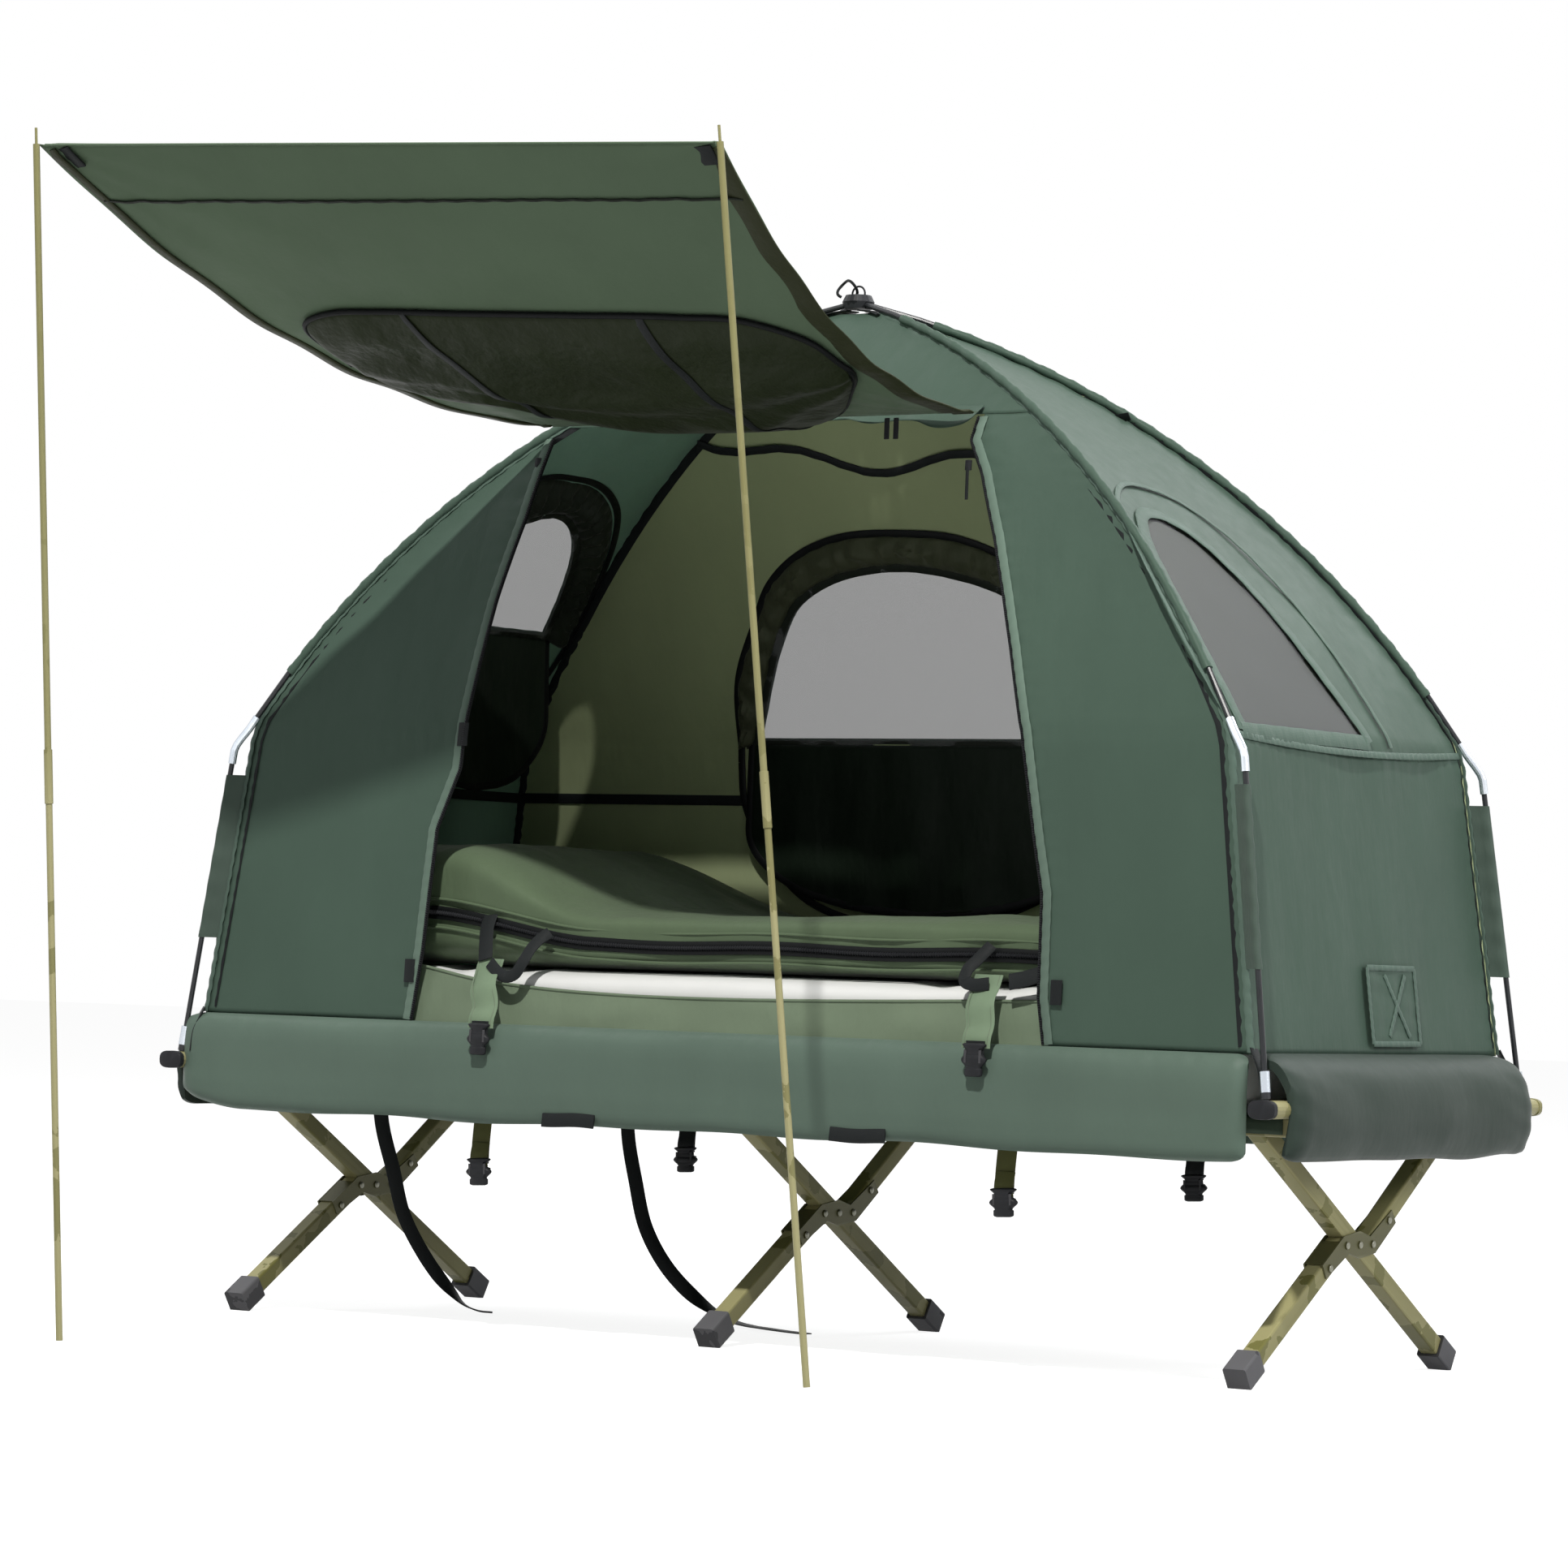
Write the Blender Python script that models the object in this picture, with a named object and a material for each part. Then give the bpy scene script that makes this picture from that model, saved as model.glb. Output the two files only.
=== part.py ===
"""Tent cot: a folding camp bed with three crossed leg sets, a dome tent on it and a propped awning.

Metres, +Z up, X along the bed, the door on the -Y side, the floor at z = 0.
"""
import math

import bmesh
import bpy
import numpy as np
from mathutils import Vector

GAP = 0.0003
OVERRUN = 0.02

# Legs and rails
LEG_END_INSET = 0.088
LEG_SIZE = 0.026
LEG_CORNER = 0.003
LEG_WALL = 0.0015
LEG_CLEARANCE = 0.001
PIVOT_HEIGHT = 0.185
RIVET_SPACING = 0.038
RAIL_OFFSET = 0.279
RAIL_HEIGHT = 0.350
RAIL_SIZE = 0.026
RAIL_WALL = 0.0015
RAIL_OVERHANG = 0.015
NEAR_FOOT_REACH = 0.333
CAP_SIZE = 0.035
CAP_LENGTH = 0.045
CAP_BASE = 0.004
CAP_FLAT = 0.0025

# Pressed brackets at the crossings
BRACKET_SHEET = 0.002
BRACKET_ARM = 0.072
BRACKET_HALF_HEIGHT = 0.019
RIVET_RADIUS = 0.003
RIVET_HEAD_RADIUS = 0.0055
RIVET_HEAD_HEIGHT = 0.0015
RIVET_OUTER_REACH = 0.062

# Spreader bars across the ends
SPREADER_OUTSET = 0.036875
SPREADER_WIDTH = 0.039
SPREADER_THICKNESS = 0.024
SPREADER_OVERHANG = 0.0213
SPREADER_WALL = 0.002
POLE_HOLE_RADIUS = 0.0055

# Dome poles
HUB_HEIGHT = 1.525
HUB_RADIUS = 0.024
HUB_THICKNESS = 0.020
HUB_BOTTOM_SHARE = 0.85
HUB_TOP_SHARE = 0.80
HUB_LOOP_RADIUS = 0.011
HUB_LOOP_WIRE = 0.003
POLE_ANGLE = math.atan2(0.3787, 0.9255)
ARC_RADIUS = 1.490
ARC_START_ANGLE = math.radians(76.58)
ARC_END_ANGLE = math.radians(33.27)
ROD_RADIUS = 0.004
ELBOW_RADIUS = 0.006
ELBOW_BORE_CLEARANCE = 0.0003
ELBOW_INSERT = 0.020
ELBOW_DROP = 0.071
ELBOW_REACH = 0.037
POLE_FOOT_INSET = 0.0045
POLE_TIP_RADIUS = 0.0065
POLE_TIP_LENGTH = 0.035

# Tent fabric
FABRIC = 0.002
CANOPY_INSET = 0.0065
SEAM_HEIGHT = 0.447
SHOULDER_DROP = 0.033
SHOULDER_OUTSET = 0.005
SEAM_REACH = 0.965
APEX_REACH = 0.040
DOOR_TOP = 1.335

# Skirts and bed
SKIRT_TOP = SEAM_HEIGHT - GAP
SKIRT_BOTTOM = 0.305
SKIRT_OUTSET = 0.0226
SKIRT_OVERHANG = 0.002
SKIRT_THICKNESS = 0.012
WRAP_THICKNESS = 0.006
SLING_END_GAP = 0.025
SLING_HEM = 0.024
MATTRESS_END_GAP = 0.033
MATTRESS_SIDE_GAP = 0.030
MATTRESS_HEIGHT = 0.165
MATTRESS_SQUARENESS = 0.22
BAG_END_GAP = 0.060
BAG_SIDE_GAP = 0.020
BAG_HEIGHT = 0.085
BAG_SQUARENESS = 0.3
BAG_PILLOW_RISE = 0.100
BAG_PILLOW_LENGTH = 0.29

# Awning and its two poles
AWNING_ROOT_SPAN = (-0.410, 0.326)
ROOF_FLARE = 0.020
AWNING_CORNER_LEFT = (-0.683, -1.050, 1.655)
AWNING_CORNER_RIGHT = (0.294, -0.800, 1.638)
AWNING_SAG = 0.085
AWNING_THICKNESS = 0.0025
ROLL_THICKNESS = 0.030
ROLL_DROP = 0.0018
ROLL_ROWS = ((.14, .20, .74, .4), (.20, .06, .86, .9), (.34, .03, .88, 1), (.48, .03, .84, .8),
             (.56, .08, .78, .3))
AWNING_POLE_FOOT_LEFT = (-0.592, -1.018)
AWNING_POLE_FOOT_RIGHT = (0.492, -0.800)
AWNING_POLE_RADIUS = 0.00475
AWNING_SPIKE_RADIUS = 0.002
AWNING_SPIKE_RISE = 0.018
AWNING_SPIKE_GAP = 0.0009
AWNING_SHOULDER_DROP = 0.0055
FERRULE_RADIUS = 0.006
FERRULE_LENGTH = 0.075
FERRULE_DROP = 0.840

# Window flaps
FLAP_THICKNESS = 0.003
FLAP_CLEARANCE = 0.0006
LEFT_FLAP_DROP = 0.243
RIGHT_FLAP_DROP = 0.216
REAR_FLAP_DROP = 0.259

# Hanging storage straps
STRAP_RADIUS = 0.004
STRAP_POINTS = 44


def clear_scene():
    for old in list(bpy.data.objects):
        bpy.data.objects.remove(old, do_unlink=True)


def finish(name, colour, roughness, metallic):
    mat = bpy.data.materials.new(name)
    mat.use_nodes = True
    shader = mat.node_tree.nodes["Principled BSDF"]
    shader.inputs["Base Color"].default_value = (*colour, 1)
    shader.inputs["Roughness"].default_value = roughness
    shader.inputs["Metallic"].default_value = metallic
    return mat


def add_object(name, verts, faces, mat, origin=(0, 0, 0), smooth=True):
    """A named mesh object, its faces turned outwards and its origin on its joint."""
    start = Vector(origin)
    mesh = bpy.data.meshes.new(name)
    mesh.from_pydata([Vector(v) - start for v in verts], [], faces)
    work = bmesh.new()
    work.from_mesh(mesh)
    bmesh.ops.recalc_face_normals(work, faces=work.faces)
    work.to_mesh(mesh)
    work.free()
    obj = bpy.data.objects.new(name, mesh)
    obj.location = start
    bpy.context.scene.collection.objects.link(obj)
    if mat:
        mesh.materials.append(mat)
    if smooth:
        mesh.shade_smooth()
        mesh.set_sharp_from_angle(angle=math.radians(35))
    return obj


def boolean(obj, operation, name, verts, faces):
    """Cut a closed shape from an object, or join one to it."""
    tool = add_object(name, verts, faces, None, smooth=False)
    tool.hide_render = True
    tool.display_type = "WIRE"
    mod = obj.modifiers.new(name, "BOOLEAN")
    mod.operation = operation
    mod.solver = "EXACT"
    mod.object = tool


def ring_section(radius, sides):
    turn = np.linspace(0, 2 * math.pi, sides, endpoint=False)
    return np.stack([radius * np.cos(turn), radius * np.sin(turn)], 1)


def rounded_section(width, height, corner, steps=2):
    """Points round a rectangle with rounded corners, anticlockwise."""
    points = []
    for quarter, (sx, sy) in enumerate(((1, 1), (-1, 1), (-1, -1), (1, -1))):
        for step in range(steps + 1):
            turn = (quarter + step / steps) * math.pi / 2
            x = sx * (width / 2 - corner) + corner * math.cos(turn)
            y = sy * (height / 2 - corner) + corner * math.sin(turn)
            points.append((x, y))
    return np.array(points)


def sweep(path, section, bore=None, side=(1, 0, 0), scales=None):
    """Carry a section along a path; section x follows side, y is square to both.

    A bore makes it an open tube, otherwise both ends are closed.
    """
    path = np.asarray(path, float)
    along = np.gradient(path, axis=0)
    along /= np.linalg.norm(along, axis=1)[:, None]
    across = np.asarray(side, float) - along * (along @ np.asarray(side, float))[:, None]
    across /= np.linalg.norm(across, axis=1)[:, None]
    upward = np.cross(along, across)
    if scales is None:
        scales = np.ones(len(path))

    def skin(points):
        sized = np.asarray(scales)[:, None, None] * points[None]
        return path[:, None] + sized[..., :1] * across[:, None] + sized[..., 1:] * upward[:, None]

    def walls(count, offset):
        return [(offset + r * count + i, offset + r * count + (i + 1) % count,
                 offset + (r + 1) * count + (i + 1) % count, offset + (r + 1) * count + i)
                for r in range(len(path) - 1) for i in range(count)]

    count = len(section)
    verts = skin(section).reshape(-1, 3)
    faces = walls(count, 0)
    last = (len(path) - 1) * count
    if bore is None:
        faces.append(tuple(range(count)))
        faces.append(tuple(last + i for i in range(count)))
        return verts, faces
    inner = len(verts)
    verts = np.concatenate([verts, skin(bore).reshape(-1, 3)])
    faces += walls(count, inner)
    for row in (0, last):
        faces += [(row + i, row + (i + 1) % count, inner + row + (i + 1) % count, inner + row + i)
                  for i in range(count)]
    return verts, faces


def prism(profile, low, high, axis=0):
    """A closed prism: profile holds the two other coordinates, in the order of the axes."""
    verts = []
    for level in (low, high):
        for point in profile:
            corner = list(point)
            corner.insert(axis, level)
            verts.append(corner)
    count = len(profile)
    faces = [tuple(range(count)), tuple(range(count, 2 * count))]
    faces += [(i, (i + 1) % count, count + (i + 1) % count, count + i) for i in range(count)]
    return verts, faces


def block(low, high):
    return prism([(low[1], low[2]), (high[1], low[2]), (high[1], high[2]), (low[1], high[2])],
                 low[0], high[0])


def cylinder(start, end, radius, sides=12):
    along = np.subtract(end, start)
    side = (0, 0, 1) if abs(along[2]) < np.linalg.norm(along) / 2 else (1, 0, 0)
    return sweep([start, end], ring_section(radius, sides), side=side)


def thick_sheet(grid, thickness, inward):
    """A closed solid from a grid of points, given a wall on the side that inward points to."""
    grid = np.asarray(grid, float)
    rows, columns = grid.shape[:2]
    square = np.cross(np.gradient(grid, axis=0), np.gradient(grid, axis=1))
    square /= np.linalg.norm(square, axis=2)[..., None]
    if np.sum(square * np.asarray(inward)) < 0:
        square = -square
    verts = np.concatenate([grid.reshape(-1, 3), (grid + thickness * square).reshape(-1, 3)])
    inner = rows * columns
    faces = []
    for r in range(rows - 1):
        for c in range(columns - 1):
            quad = (r * columns + c, r * columns + c + 1, (r + 1) * columns + c + 1, (r + 1) * columns + c)
            faces.append(quad)
            faces.append(tuple(inner + i for i in reversed(quad)))
    rim = [c for c in range(columns)]
    rim += [r * columns + columns - 1 for r in range(1, rows)]
    rim += [(rows - 1) * columns + c for c in range(columns - 2, -1, -1)]
    rim += [r * columns for r in range(rows - 2, 0, -1)]
    for here, there in zip(rim, rim[1:] + rim[:1]):
        faces.append((here, there, inner + there, inner + here))
    return verts, faces


# Finishes
KHAKI = finish("khaki_steel", (0.30, 0.28, 0.16), 0.45, 0.3)
DARK_CAP = finish("dark_plastic", (0.03, 0.03, 0.035), 0.5, 0.0)
BLACK = finish("black_plastic", (0.01, 0.01, 0.012), 0.4, 0.0)
BRIGHT = finish("bright_alloy", (0.6, 0.62, 0.65), 0.3, 1.0)
GREEN = finish("tent_fabric", (0.08, 0.12, 0.10), 0.6, 0.0)
GREY_GREEN = finish("wrap_fabric", (0.11, 0.13, 0.11), 0.7, 0.0)
DARK_FABRIC = finish("flap_fabric", (0.012, 0.02, 0.013), 0.8, 0.0)
SLEEPING = finish("bag_fabric", (0.09, 0.11, 0.08), 0.6, 0.0)
PALE = finish("mattress_film", (0.55, 0.57, 0.54), 0.4, 0.0)
WEBBING = finish("webbing", (0.01, 0.01, 0.01), 0.8, 0.0)


# The tent's foot sets where the spreader bars, rails, skirts and bedding end
POLE_X = math.cos(POLE_ANGLE)
POLE_Y = math.sin(POLE_ANGLE)
SEAM_X = POLE_X * SEAM_REACH
SEAM_Y = POLE_Y * SEAM_REACH
SPREADER_OFFSET = SEAM_X + SPREADER_OUTSET
RAIL_HALF_LENGTH = SPREADER_OFFSET + RAIL_OVERHANG
LEG_SPACING = RAIL_HALF_LENGTH - LEG_END_INSET
SLING_HALF_LENGTH = SPREADER_OFFSET - SLING_END_GAP
POLE_FOOT_REACH = (SPREADER_OFFSET - POLE_FOOT_INSET) / POLE_X
SPREADER_HALF_LENGTH = POLE_Y * POLE_FOOT_REACH + SPREADER_OVERHANG
SKIRT_OFFSET = SEAM_Y + SKIRT_OUTSET
SKIRT_HALF_LENGTH = SEAM_X + SKIRT_OVERHANG
MATTRESS_HALF_LENGTH = SEAM_X - MATTRESS_END_GAP
MATTRESS_HALF_WIDTH = SEAM_Y - MATTRESS_SIDE_GAP
BAG_HALF_LENGTH = MATTRESS_HALF_LENGTH - BAG_END_GAP
BAG_HALF_WIDTH = MATTRESS_HALF_WIDTH - BAG_SIDE_GAP


# Crossed legs: leg A is one tube, leg B is two halves that meet it at the bracket
CENTRE = np.array([0, PIVOT_HEIGHT])
NEAR_RIVET = np.array([-RIVET_SPACING, PIVOT_HEIGHT])
FAR_RIVET = np.array([RIVET_SPACING, PIVOT_HEIGHT])
NEAR_RAIL = np.array([-RAIL_OFFSET, RAIL_HEIGHT])
FAR_RAIL = np.array([RAIL_OFFSET, RAIL_HEIGHT])
LEG_TOP = RAIL_HEIGHT - RAIL_SIZE / 2 - GAP


def unit(vector):
    return np.asarray(vector, float) / np.linalg.norm(vector)


A_DOWN = unit(CENTRE - NEAR_RAIL)
B_DOWN = unit(np.array([-NEAR_FOOT_REACH, 0]) - NEAR_RIVET)
B_UP = unit(FAR_RAIL - FAR_RIVET)


def foot_distance(start, down):
    """How far along a leg its cap ends, with the cap's lowest corner just below the floor."""
    corner = CAP_SIZE / 2 * math.sqrt(1 - down[1] ** 2)
    return (start[1] - corner + CAP_FLAT) / -down[1]


def at_x(point, x):
    return (x, point[0], point[1])


def leg_tube(name, x, start, end, pivot, cuts, rivet_at):
    """A square tube whose ends are cut by big blocks and which is drilled for its rivet."""
    outer = rounded_section(LEG_SIZE, LEG_SIZE, LEG_CORNER)
    inner = rounded_section(LEG_SIZE - 2 * LEG_WALL, LEG_SIZE - 2 * LEG_WALL, LEG_CORNER / 2)
    verts, faces = sweep([at_x(start, x), at_x(end, x)], outer, inner)
    obj = add_object(name, verts, faces, KHAKI, at_x(pivot, x))
    for number, cut in enumerate(cuts):
        boolean(obj, "DIFFERENCE", f"{name}_end_cut_{number}", *cut)
    half = LEG_SIZE / 2 + OVERRUN
    hole = cylinder(at_x(rivet_at, x - half), at_x(rivet_at, x + half), RIVET_RADIUS + GAP)
    boolean(obj, "DIFFERENCE", f"{name}_rivet_hole", *hole)
    return obj


def top_cut(x):
    reach = RAIL_OFFSET + LEG_SIZE
    span = LEG_SIZE
    return block((x - span, -2 * reach, LEG_TOP), (x + span, 2 * reach, LEG_TOP + 4 * LEG_SIZE))


def mitre_cut(x, rivet):
    """A slab on leg A's line, wide enough to keep the half leg clear of it."""
    half = LEG_SIZE / 2 + LEG_CLEARANCE
    away = np.array([-A_DOWN[1], A_DOWN[0]])
    reach = 4 * LEG_SIZE
    side = 1 if np.dot(rivet - CENTRE, away) > 0 else -1
    corners = [CENTRE + A_DOWN * reach * u + away * side * v
               for u, v in ((-1, half), (1, half), (1, -reach), (-1, -reach))]
    return prism(corners, x - LEG_SIZE, x + LEG_SIZE)


def foot_cap(name, x, start, down, pivot):
    """A moulded cup on the end of a leg, with a small flat where it meets the floor."""
    end = start + down * foot_distance(start, down)
    top = end - down * CAP_LENGTH
    outer = rounded_section(CAP_SIZE, CAP_SIZE, LEG_CORNER)
    verts, faces = sweep([at_x(top, x), at_x(end, x)], outer)
    obj = add_object(name, verts, faces, DARK_CAP, at_x(pivot, x))
    socket = rounded_section(LEG_SIZE + 2 * GAP, LEG_SIZE + 2 * GAP, LEG_CORNER)
    verts, faces = sweep([at_x(top - down * OVERRUN, x), at_x(end - down * CAP_BASE, x)], socket)
    boolean(obj, "DIFFERENCE", f"{name}_socket", verts, faces)
    reach = 2 * CAP_SIZE
    floor = block((x - CAP_SIZE, end[0] - reach, -reach), (x + CAP_SIZE, end[0] + reach, 0))
    boolean(obj, "DIFFERENCE", f"{name}_floor_cut", *floor)
    return obj


def make_leg_set(side, x):
    far_end = CENTRE + A_DOWN * (foot_distance(CENTRE, A_DOWN) - CAP_BASE - GAP)
    near_end = NEAR_RIVET + B_DOWN * (foot_distance(NEAR_RIVET, B_DOWN) - CAP_BASE - GAP)
    leg_tube(f"leg_a_{side}", x, NEAR_RAIL, far_end, CENTRE, [top_cut(x)], CENTRE)
    leg_tube(f"leg_b_lower_{side}", x, NEAR_RIVET - B_DOWN * LEG_SIZE, near_end, NEAR_RIVET,
             [mitre_cut(x, NEAR_RIVET)], NEAR_RIVET)
    leg_tube(f"leg_b_upper_{side}", x, FAR_RIVET - B_UP * LEG_SIZE, FAR_RAIL, FAR_RIVET,
             [top_cut(x), mitre_cut(x, FAR_RIVET)], FAR_RIVET)
    foot_cap(f"foot_cap_far_{side}", x, CENTRE, A_DOWN, CENTRE)
    foot_cap(f"foot_cap_near_{side}", x, NEAR_RIVET, B_DOWN, NEAR_RIVET)
    make_bracket(f"scissor_bracket_{side}", x)


def make_bracket(name, x):
    """Two pressed flanges with a web outside each arm of leg B, and five rivets."""
    inner = LEG_SIZE / 2 + GAP
    outer = inner + BRACKET_SHEET
    lift = np.array([-B_DOWN[1], B_DOWN[0]])
    drop = np.array([B_UP[1], -B_UP[0]])
    lift = lift if lift[0] < 0 else -lift
    edge = LEG_SIZE / 2 + GAP
    rim = edge + BRACKET_SHEET
    near_tip = NEAR_RIVET + B_DOWN * BRACKET_ARM
    far_tip = FAR_RIVET + B_UP * BRACKET_ARM
    flange = [near_tip + lift * rim, near_tip - lift * edge / 2, NEAR_RIVET - lift * edge,
              CENTRE - np.array([0, BRACKET_HALF_HEIGHT]), FAR_RIVET + drop * rim, far_tip + drop * rim,
              far_tip - drop * edge / 2, FAR_RIVET - drop * edge,
              CENTRE + np.array([0, BRACKET_HALF_HEIGHT]), NEAR_RIVET + lift * rim]
    verts, faces = prism(flange, x - outer, x - inner)
    obj = add_object(name, verts, faces, KHAKI, at_x(CENTRE, x))
    boolean(obj, "UNION", f"{name}_flange", *prism(flange, x + inner, x + outer))
    for label, rivet, along, away in (("near", NEAR_RIVET, B_DOWN, lift), ("far", FAR_RIVET, B_UP, drop)):
        start = rivet + along * LEG_SIZE / 2
        end = rivet + along * (BRACKET_ARM - LEG_CORNER)
        web = [start + away * edge, end + away * edge, end + away * (rim - GAP), start + away * (rim - GAP)]
        boolean(obj, "UNION", f"{name}_{label}_web", *prism(web, x - outer + GAP, x + outer - GAP))
    head = outer + RIVET_HEAD_HEIGHT
    disc = ring_section(RIVET_HEAD_RADIUS, 12)
    for label, place in (("centre", CENTRE), ("near", NEAR_RIVET), ("far", FAR_RIVET)):
        turned = sweep([at_x(place, x + u) for u in (-head, -outer + GAP)], disc, side=(0, 0, 1))
        boolean(obj, "UNION", f"{name}_{label}_head_left", *turned)
        turned = sweep([at_x(place, x + u) for u in (outer - GAP, head)], disc, side=(0, 0, 1))
        boolean(obj, "UNION", f"{name}_{label}_head_right", *turned)
        shank = cylinder(at_x(place, x - outer), at_x(place, x + outer), RIVET_RADIUS)
        boolean(obj, "UNION", f"{name}_{label}_shank", *shank)
    for label, place in (("near", NEAR_RIVET + B_DOWN * (RIVET_OUTER_REACH - RIVET_HEAD_RADIUS)),
                         ("far", FAR_RIVET + B_UP * (RIVET_OUTER_REACH - RIVET_HEAD_RADIUS))):
        for sign in (-1, 1):
            start = at_x(place, x + sign * (outer - GAP))
            stud = cylinder(start, at_x(place, x + sign * head), RIVET_HEAD_RADIUS)
            boolean(obj, "UNION", f"{name}_{label}_stud_{'left' if sign < 0 else 'right'}", *stud)


def make_rail(name, centre, pivot):
    outer = rounded_section(RAIL_SIZE, RAIL_SIZE, LEG_CORNER)
    inner = rounded_section(RAIL_SIZE - 2 * RAIL_WALL, RAIL_SIZE - 2 * RAIL_WALL, LEG_CORNER / 2)
    path = [at_x(centre, -RAIL_HALF_LENGTH), at_x(centre, RAIL_HALF_LENGTH)]
    verts, faces = sweep(path, outer, inner, side=(0, 1, 0))
    add_object(name, verts, faces, KHAKI, at_x(pivot, 0))


# Spreader bars: flat oval tubes on top of the rails, closed by end plugs, drilled for the dome poles
SPREADER_HEIGHT = RAIL_HEIGHT + RAIL_SIZE / 2 + GAP + SPREADER_THICKNESS / 2
SPREADER_TOP = SPREADER_HEIGHT + SPREADER_THICKNESS / 2


def make_spreader(name, side):
    x = side * SPREADER_OFFSET
    corner = SPREADER_THICKNESS / 2 - GAP
    outer = rounded_section(SPREADER_WIDTH, SPREADER_THICKNESS, corner, 4)
    shrink = 2 * SPREADER_WALL
    inner = rounded_section(SPREADER_WIDTH - shrink, SPREADER_THICKNESS - shrink, corner - SPREADER_WALL, 4)
    ends = [(x, -SPREADER_HALF_LENGTH, SPREADER_HEIGHT), (x, SPREADER_HALF_LENGTH, SPREADER_HEIGHT)]
    verts, faces = sweep(ends, outer)
    obj = add_object(name, verts, faces, KHAKI)
    plug = SPREADER_HALF_LENGTH - SPREADER_WALL
    core = sweep([(x, -plug, SPREADER_HEIGHT), (x, plug, SPREADER_HEIGHT)], inner)
    drills = []
    for near in (-1, 1):
        y = near * POLE_Y * POLE_FOOT_REACH
        drills.append(((side * POLE_X * POLE_FOOT_REACH, y), near))
    boolean(obj, "DIFFERENCE", f"{name}_core", *core)
    for (px, py), near in drills:
        hole = cylinder((px, py, SPREADER_HEIGHT), (px, py, SPREADER_TOP + OVERRUN), POLE_HOLE_RADIUS + GAP)
        boolean(obj, "DIFFERENCE", f"{name}_hole_{'far' if near > 0 else 'near'}", *hole)


# Dome poles: a long curved rod, a bright elbow and a straight rod, four times from the hub
ARC_CENTRE_R = -ARC_RADIUS * math.cos(ARC_START_ANGLE)
ARC_CENTRE_Z = HUB_HEIGHT - ARC_RADIUS * math.sin(ARC_START_ANGLE)
QUARTERS = (("front_left", -1, -1), ("front_right", 1, -1), ("rear_left", -1, 1), ("rear_right", 1, 1))


def arc_point(angle, inset=0.0):
    radius = ARC_RADIUS - inset
    return np.array([ARC_CENTRE_R + radius * math.cos(angle), ARC_CENTRE_Z + radius * math.sin(angle)])


def in_plane(points, sx, sy):
    """Points given as (distance from the middle, height) put into one pole's upright plane."""
    return [(sx * POLE_X * r, sy * POLE_Y * r, z) for r, z in points]


ELBOW_TOP = arc_point(ARC_END_ANGLE)
ELBOW_LOW = ELBOW_TOP + np.array([ELBOW_REACH, -ELBOW_DROP])
POLE_FOOT = np.array([POLE_FOOT_REACH, SPREADER_TOP])
TOP_DIRECTION = np.array([math.sin(ARC_END_ANGLE), -math.cos(ARC_END_ANGLE)])
LOW_DIRECTION = unit(POLE_FOOT - ELBOW_LOW)


def make_poles():
    inside = HUB_RADIUS / 2
    start_angle = math.acos((inside - ARC_CENTRE_R) / ARC_RADIUS)
    arc = [arc_point(a) for a in np.linspace(start_angle, ARC_END_ANGLE, 14)]
    socket_end = ELBOW_INSERT - GAP
    upper = arc + [ELBOW_TOP + TOP_DIRECTION * socket_end]
    bend_start = ELBOW_TOP + TOP_DIRECTION * ELBOW_INSERT
    bend_end = ELBOW_LOW - LOW_DIRECTION * ELBOW_INSERT
    pull = ELBOW_INSERT / 2
    share = np.linspace(0, 1, 5)[:, None]
    bend = ((1 - share) ** 3 * bend_start + 3 * share * (1 - share) ** 2 * (bend_start + TOP_DIRECTION * pull)
            + 3 * share ** 2 * (1 - share) * (bend_end - LOW_DIRECTION * pull) + share ** 3 * bend_end)
    elbow = [ELBOW_TOP, *bend, ELBOW_LOW]
    depth = SPREADER_THICKNESS - SPREADER_WALL - RIVET_HEAD_HEIGHT
    collar = POLE_FOOT - LOW_DIRECTION * (GAP + POLE_TIP_RADIUS * LOW_DIRECTION[0])
    lower = [ELBOW_LOW - LOW_DIRECTION * socket_end, collar - LOW_DIRECTION * (POLE_TIP_LENGTH + GAP),
             collar - LOW_DIRECTION * POLE_TIP_LENGTH, collar - LOW_DIRECTION * GAP, collar,
             POLE_FOOT + LOW_DIRECTION * depth]
    thick = POLE_TIP_RADIUS / ROD_RADIUS
    for label, sx, sy in QUARTERS:
        side = (-sy * POLE_Y, sx * POLE_X, 0)
        rod = ring_section(ROD_RADIUS, 10)
        add_object(f"pole_upper_{label}", *sweep(in_plane(upper, sx, sy), rod, side=side), BLACK)
        outer = ring_section(ELBOW_RADIUS, 12)
        bore = ring_section(ROD_RADIUS + ELBOW_BORE_CLEARANCE, 12)
        add_object(f"pole_elbow_{label}", *sweep(in_plane(elbow, sx, sy), outer, bore, side=side), BRIGHT)
        verts, faces = sweep(in_plane(lower, sx, sy), rod, side=side, scales=[1, 1, thick, thick, 1, 1])
        add_object(f"pole_lower_{label}", verts, faces, BLACK)


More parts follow.
